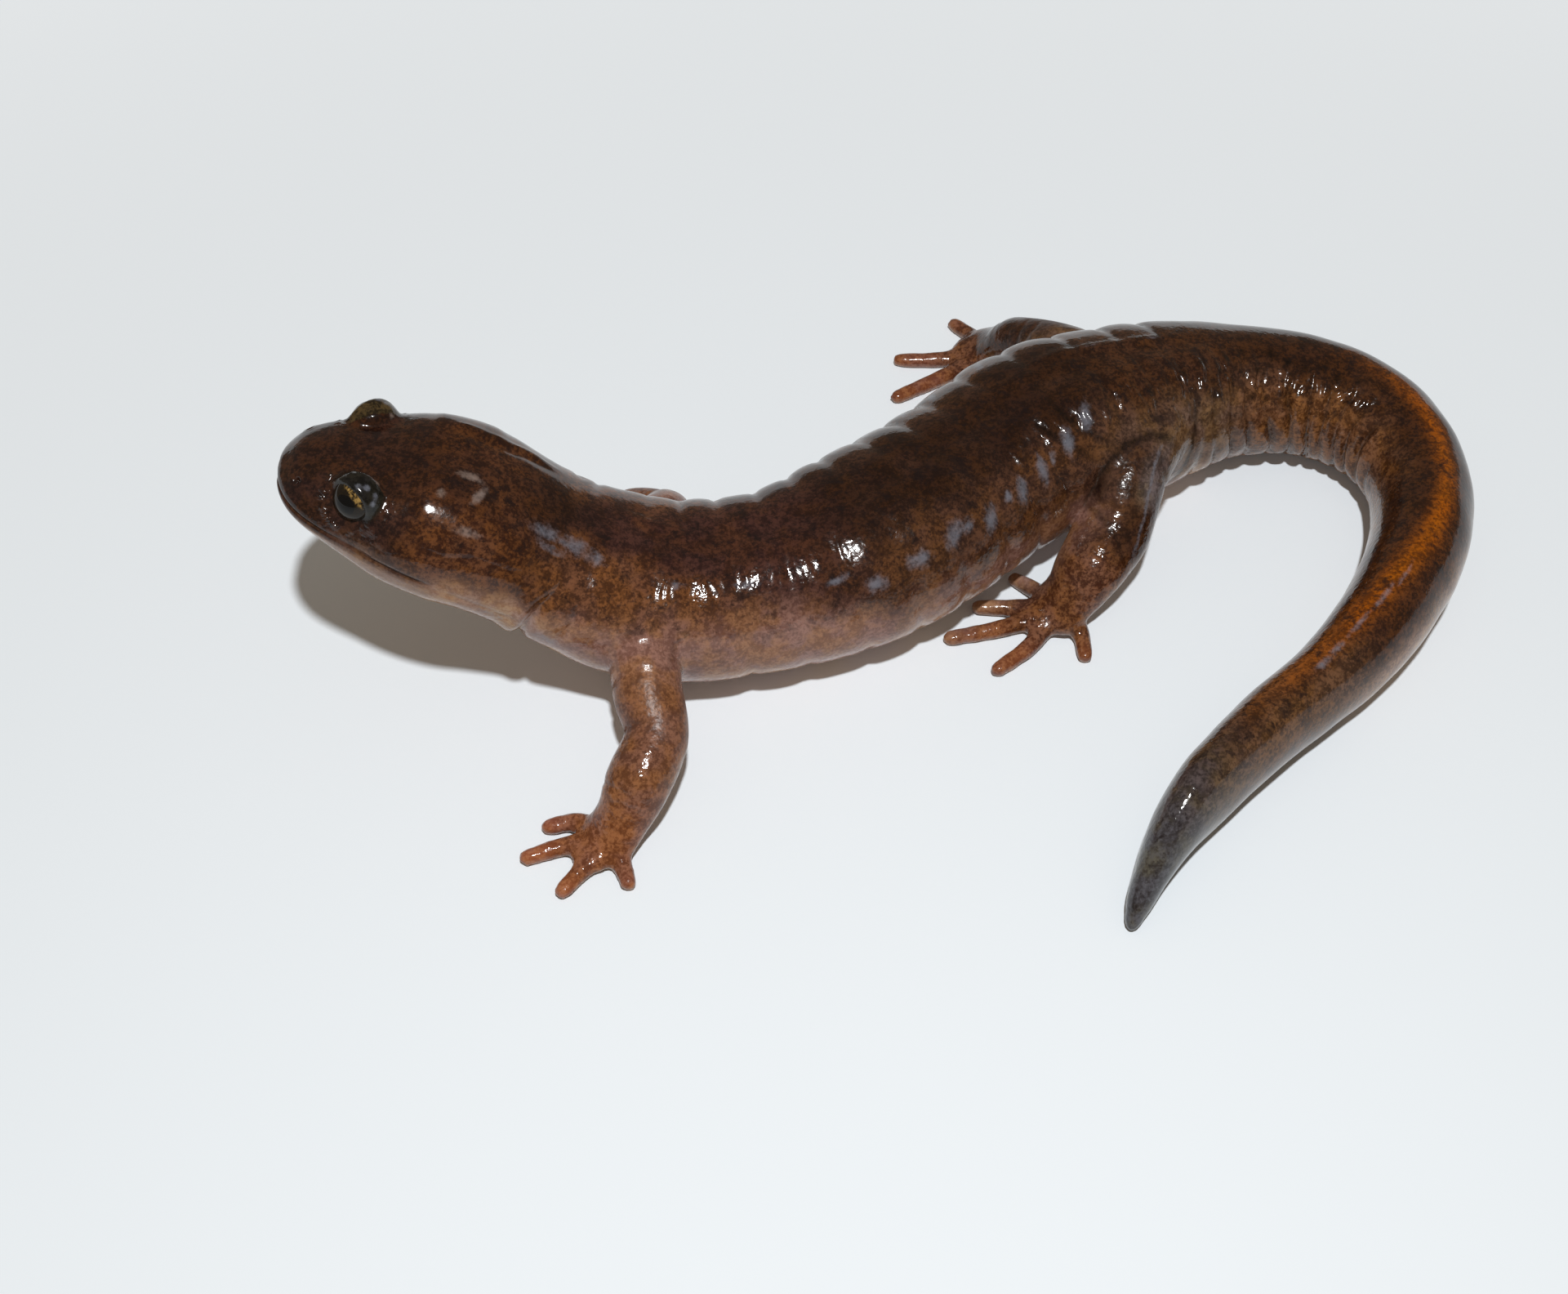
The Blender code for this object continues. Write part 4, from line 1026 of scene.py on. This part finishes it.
class Nodes:
    # short ways to add nodes and to link or set their sockets
    def __init__(self, tree):
        self.tree = tree

    def add(self, kind, **settings):
        node = self.tree.nodes.new("ShaderNode" + kind)
        for key, value in settings.items():
            setattr(node, key, value)
        return node

    def put(self, socket, value):
        if isinstance(value, bpy.types.NodeSocket):
            self.tree.links.new(value, socket)
        else:
            socket.default_value = value

    def set(self, node, **values):
        for key, value in values.items():
            self.put(node.inputs[key.replace("_", " ")], value)

    def noise(self, coordinates, scale, detail, roughness=0.55, distortion=0.0):
        node = self.add("TexNoise")
        self.set(node, Vector=coordinates, Scale=scale, Detail=detail, Roughness=roughness, Distortion=distortion)
        return node.outputs["Fac"]

    def ramp(self, value, low, high, start=0.0, end=1.0):
        node = self.add("MapRange", interpolation_type="SMOOTHSTEP")
        self.set(node, Value=value, From_Min=low, From_Max=high, To_Min=start, To_Max=end)
        return node.outputs["Result"]

    def maths(self, operation, a, b):
        node = self.add("Math", operation=operation)
        self.put(node.inputs[0], a)
        self.put(node.inputs[1], b)
        return node.outputs[0]

    def mix(self, factor, a, b, blend="MIX"):
        node = self.add("Mix", data_type="RGBA", blend_type=blend)
        self.put(node.inputs[0], factor)
        for index, colour in ((6, a), (7, b)):
            self.put(node.inputs[index], (*colour, 1.0) if isinstance(colour, tuple) else colour)
        return node.outputs[2]

    def attribute(self, name, output="Fac"):
        node = self.add("Attribute", attribute_name=name)
        return node.outputs[output]


def newMaterial(name):
    material = bpy.data.materials.new(name)
    material.use_nodes = True
    nodes = Nodes(material.node_tree)
    return material, nodes, material.node_tree.nodes["Principled BSDF"]


skinLook = {
    # a range is where a noise starts and ends to count, then the least and most that it counts
    "fleckScale": 4600.0,
    "fleckRange": (0.34, 0.68),
    "clumpScale": 1300.0,
    "clumpStrength": 0.85,
    "tintScale": 480.0,
    "tintRange": (0.4, 0.6),
    "tint": (1.12, 1.04, 0.70),
    "speckScale": 3000.0,
    "speckRange": (0.54, 0.66, 0.0, 0.68),
    "blotchScale": 820.0,
    "blotchRange": (0.53, 0.65, 0.0, 0.7),
    "blotch": (0.0085, 0.0045, 0.0050),
    "raggedScale": 2300.0,
    "raggedStrength": 1.6,
    "patchRange": (0.2, 1.15, 0.0, 0.72),
    "glossScale": 900.0,
    "glossRange": (0.35, 0.7, 0.09, 0.2),
    "dullRoughness": 0.27,
    "waveScale": 3300.0,
    "creasePitch": 0.8,
    "bumpHeight": 0.00008,
    "ior": 1.42,
}


def skinMaterial():
    look = skinLook
    material, n, shader = newMaterial("wetSkin")
    where = n.add("TexCoord").outputs["Object"]
    # flecks of a lighter colour on the ground, in clumps, with a warmer tint here and there
    clumps = n.maths("SUBTRACT", n.noise(where, look["clumpScale"], 4.0, 0.6, 0.3), 0.5)
    clumps = n.maths("MULTIPLY", clumps, look["clumpStrength"])
    flecks = n.maths("ADD", n.noise(where, look["fleckScale"], 4.0, 0.65, 0.2), clumps)
    flecks = n.ramp(flecks, *look["fleckRange"])
    colour = n.mix(flecks, n.attribute("ground", "Color"), n.attribute("fleck", "Color"))
    tinted = n.mix(1.0, colour, look["tint"], "MULTIPLY")
    colour = n.mix(n.ramp(n.noise(where, look["tintScale"], 3.0, 0.6), *look["tintRange"]), colour, tinted)
    # dark specks and larger blotches
    specks = n.ramp(n.noise(where, look["speckScale"], 3.0, 0.6, 0.3), *look["speckRange"])
    specks = n.maths("MULTIPLY", specks, n.attribute("blotch"))
    colour = n.mix(specks, colour, n.mix(0.6, n.attribute("ground", "Color"), look["blotch"]))
    blotches = n.ramp(n.noise(where, look["blotchScale"], 5.0, 0.7, 0.4), *look["blotchRange"])
    blotches = n.maths("MULTIPLY", blotches, n.attribute("blotch"))
    colour = n.mix(blotches, colour, look["blotch"])
    # pale patches and painted reflections, with ragged edges
    ragged = n.maths("SUBTRACT", n.noise(where, look["raggedScale"], 5.0, 0.7), 0.5)
    ragged = n.maths("MULTIPLY", ragged, look["raggedStrength"])
    patches = n.ramp(n.maths("ADD", n.attribute("pale"), ragged), *look["patchRange"])
    patches = n.maths("MULTIPLY", patches, n.ramp(n.attribute("pale"), 0.05, 0.5))
    colour = n.mix(patches, colour, n.attribute("paleTint", "Color"))
    # wet gloss over small waves and creases
    gloss = n.ramp(n.noise(where, look["glossScale"], 3.0), *look["glossRange"])
    roughness = n.maths("ADD", gloss, n.maths("MULTIPLY", n.attribute("dull"), look["dullRoughness"]))
    waves = n.noise(where, look["waveScale"], 2.0, 0.45)
    creases = n.maths("MULTIPLY", n.attribute("phase"), 2 * math.pi / look["creasePitch"])
    creases = n.maths("MULTIPLY", n.maths("SINE", creases, 0.0), n.attribute("creased"))
    height = n.maths("ADD", n.maths("MULTIPLY", waves, n.attribute("glint")), creases)
    bump = n.add("Bump")
    n.set(bump, Height=height, Strength=1.0, Distance=look["bumpHeight"])
    n.set(shader, Base_Color=colour, Roughness=roughness, Normal=bump.outputs["Normal"], IOR=look["ior"])
    return material


def finishPiece(obj, material, replaced):
    # millimetres become metres, the piece takes its material and body, and the nodes that it replaces are hidden
    obj.data.transform(Matrix.Scale(metres, 4))
    obj.data.update()
    obj.data.shade_smooth()
    obj.data.materials.clear()
    obj.data.materials.append(material)
    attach(obj, "root")
    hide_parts(*replaced)


fleshNodes = sorted(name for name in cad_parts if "eye" not in name)
finishPiece(trunk, skinMaterial(), fleshNodes)


print("eyes")

eyeLook = {
    "pupil": 0.44,             # half angle of the pupil
    "pupilWide": 0.88,         # stretch of its outline: below 1 is wider, above 1 is lower
    "pupilHigh": 1.08,
    "pupilColour": (0.004, 0.004, 0.004),
    "iris": (0.011, 0.008, 0.005),
    "gold": (0.30, 0.185, 0.055),
    "goldFrom": (0.3, 0.46, 0.02, 1.0),    # the gold starts at this height on the ball
    "goldScale": 3600.0,
    "goldSpecks": (0.44, 0.6),
    "wobbleScale": 2600.0,
    "wobble": 0.12,
    "roughness": 0.05,
    "ior": 1.33,
}


def makeEye(name, side):
    spot, gaze, ahead, above = eyeFrame(side)
    turn = Matrix((ahead, above, gaze)).transposed().to_4x4()
    bm = bmesh.new()
    bmesh.ops.create_uvsphere(bm, u_segments=64, v_segments=48, radius=head["eyeRadius"])
    obj = addObject(name, bm)
    local = readPoints(obj.data) / head["eyeRadius"]
    oval = np.arctan2(np.hypot(local[:, 0] * eyeLook["pupilWide"], local[:, 1] * eyeLook["pupilHigh"]), local[:, 2])
    addMasks(obj.data, fromAxis=oval, upward=local[:, 1])
    obj.data.transform(Matrix.Translation(spot) @ turn)
    if turn.determinant() < 0:
        obj.data.flip_normals()
    return obj


def eyeMaterial():
    material, n, shader = newMaterial("eye")
    where = n.add("TexCoord").outputs["Object"]
    axis = n.attribute("fromAxis")
    wobble = n.maths("ADD", axis, n.maths("MULTIPLY", n.noise(where, eyeLook["wobbleScale"], 3.0), eyeLook["wobble"]))
    rim = n.ramp(wobble, eyeLook["pupil"], eyeLook["pupil"] + 0.07)
    top = n.ramp(n.attribute("upward"), *eyeLook["goldFrom"])
    specks = n.ramp(n.noise(where, eyeLook["goldScale"], 5.0, 0.75), *eyeLook["goldSpecks"])
    gold = n.maths("MULTIPLY", n.maths("MULTIPLY", rim, top), specks)
    colour = n.mix(rim, eyeLook["pupilColour"], eyeLook["iris"])
    colour = n.mix(gold, colour, eyeLook["gold"])
    n.set(shader, Base_Color=colour, Roughness=eyeLook["roughness"], IOR=eyeLook["ior"])
    return material


eyeSurface = eyeMaterial()
for name, side in (("left_eye", 1), ("right_eye", -1)):
    finishPiece(makeEye(name + "_ball", side), eyeSurface, [name])


print("floor, light and camera")

studio = {
    "floorSize": 3.0,
    "floorColour": (0.85, 0.92, 0.98),
    "glowFrom": 0.04,
    "glowFull": 0.25,
    "farGlow": (0.66, 0.69, 0.72),
    "keyPlace": (0.001, -0.081, 0.222),
    "keyAim": (-0.005, 0.0, 0.005),
    "keySize": 0.0115,
    "keyPower": 0.43,
    "ambient": (0.188, 0.155, 0.120),
    "backdrop": (0.82, 0.84, 0.86),
    "cameraPlace": (-0.00765, -0.08364, 0.09959),
    "cameraTilt": 40.0,
    "lens": 46.3125,
    "shift": -0.0375,
}


def makeStudio():
    bm = bmesh.new()
    bmesh.ops.create_grid(bm, x_segments=1, y_segments=1, size=studio["floorSize"] / 2)
    floor = addObject("floor", bm)
    floor.location.z = -0.00002
    material, n, shader = newMaterial("paleFloor")
    n.set(shader, Base_Color=(*studio["floorColour"], 1.0), Roughness=0.7)
    # the key light is close, so the far floor glows a little to stay as pale as the near floor
    height = studio["keyPlace"][2]
    away = n.add("VectorMath", operation="DISTANCE")
    n.set(away, Vector=n.add("TexCoord").outputs["Object"])
    away.inputs[1].default_value = (*studio["keyPlace"][:2], 0.0)
    distance = away.outputs["Value"]
    slope = n.maths("MULTIPLY", distance, 1 / height)
    spread = n.maths("ADD", n.maths("MULTIPLY", slope, slope), 1.0)
    lost = n.maths("SUBTRACT", 1.0, n.maths("POWER", spread, -2.0))
    glow = n.maths("MULTIPLY", lost, n.ramp(distance, studio["glowFrom"], studio["glowFull"]))
    n.set(shader, Emission_Color=n.mix(glow, (0.0, 0.0, 0.0), studio["farGlow"]), Emission_Strength=1.0)
    floor.data.materials.append(material)

    world = bpy.data.worlds.new("studio")
    bpy.context.scene.world = world
    world.use_nodes = True
    n = Nodes(world.node_tree)
    seen = n.add("LightPath").outputs["Is Camera Ray"]
    background = world.node_tree.nodes["Background"]
    n.set(background, Color=n.mix(seen, studio["ambient"], studio["backdrop"]), Strength=1.0)

    lamp = bpy.data.lights.new("key", "AREA")
    lamp.shape = "DISK"
    lamp.size = studio["keySize"]
    lamp.energy = studio["keyPower"]
    key = bpy.data.objects.new("key", lamp)
    key.location = studio["keyPlace"]
    aim = Vector(studio["keyAim"]) - Vector(studio["keyPlace"])
    key.rotation_euler = aim.to_track_quat("-Z", "Y").to_euler()
    bpy.context.scene.collection.objects.link(key)

    bpy.context.scene.view_settings.view_transform = "Standard"    # the photo's plain contrast

    cameraData = bpy.data.cameras.new("camera")
    cameraData.sensor_width = 36.0
    cameraData.lens = studio["lens"]
    cameraData.shift_y = studio["shift"]
    cameraData.clip_start = 0.001
    camera = bpy.data.objects.new("camera", cameraData)
    camera.location = studio["cameraPlace"]
    camera.rotation_euler = (math.radians(studio["cameraTilt"]), 0.0, 0.0)
    bpy.context.scene.collection.objects.link(camera)
    bpy.context.scene.camera = camera


makeStudio()

print("skin triangles", sum(len(p.vertices) - 2 for p in trunk.data.polygons))
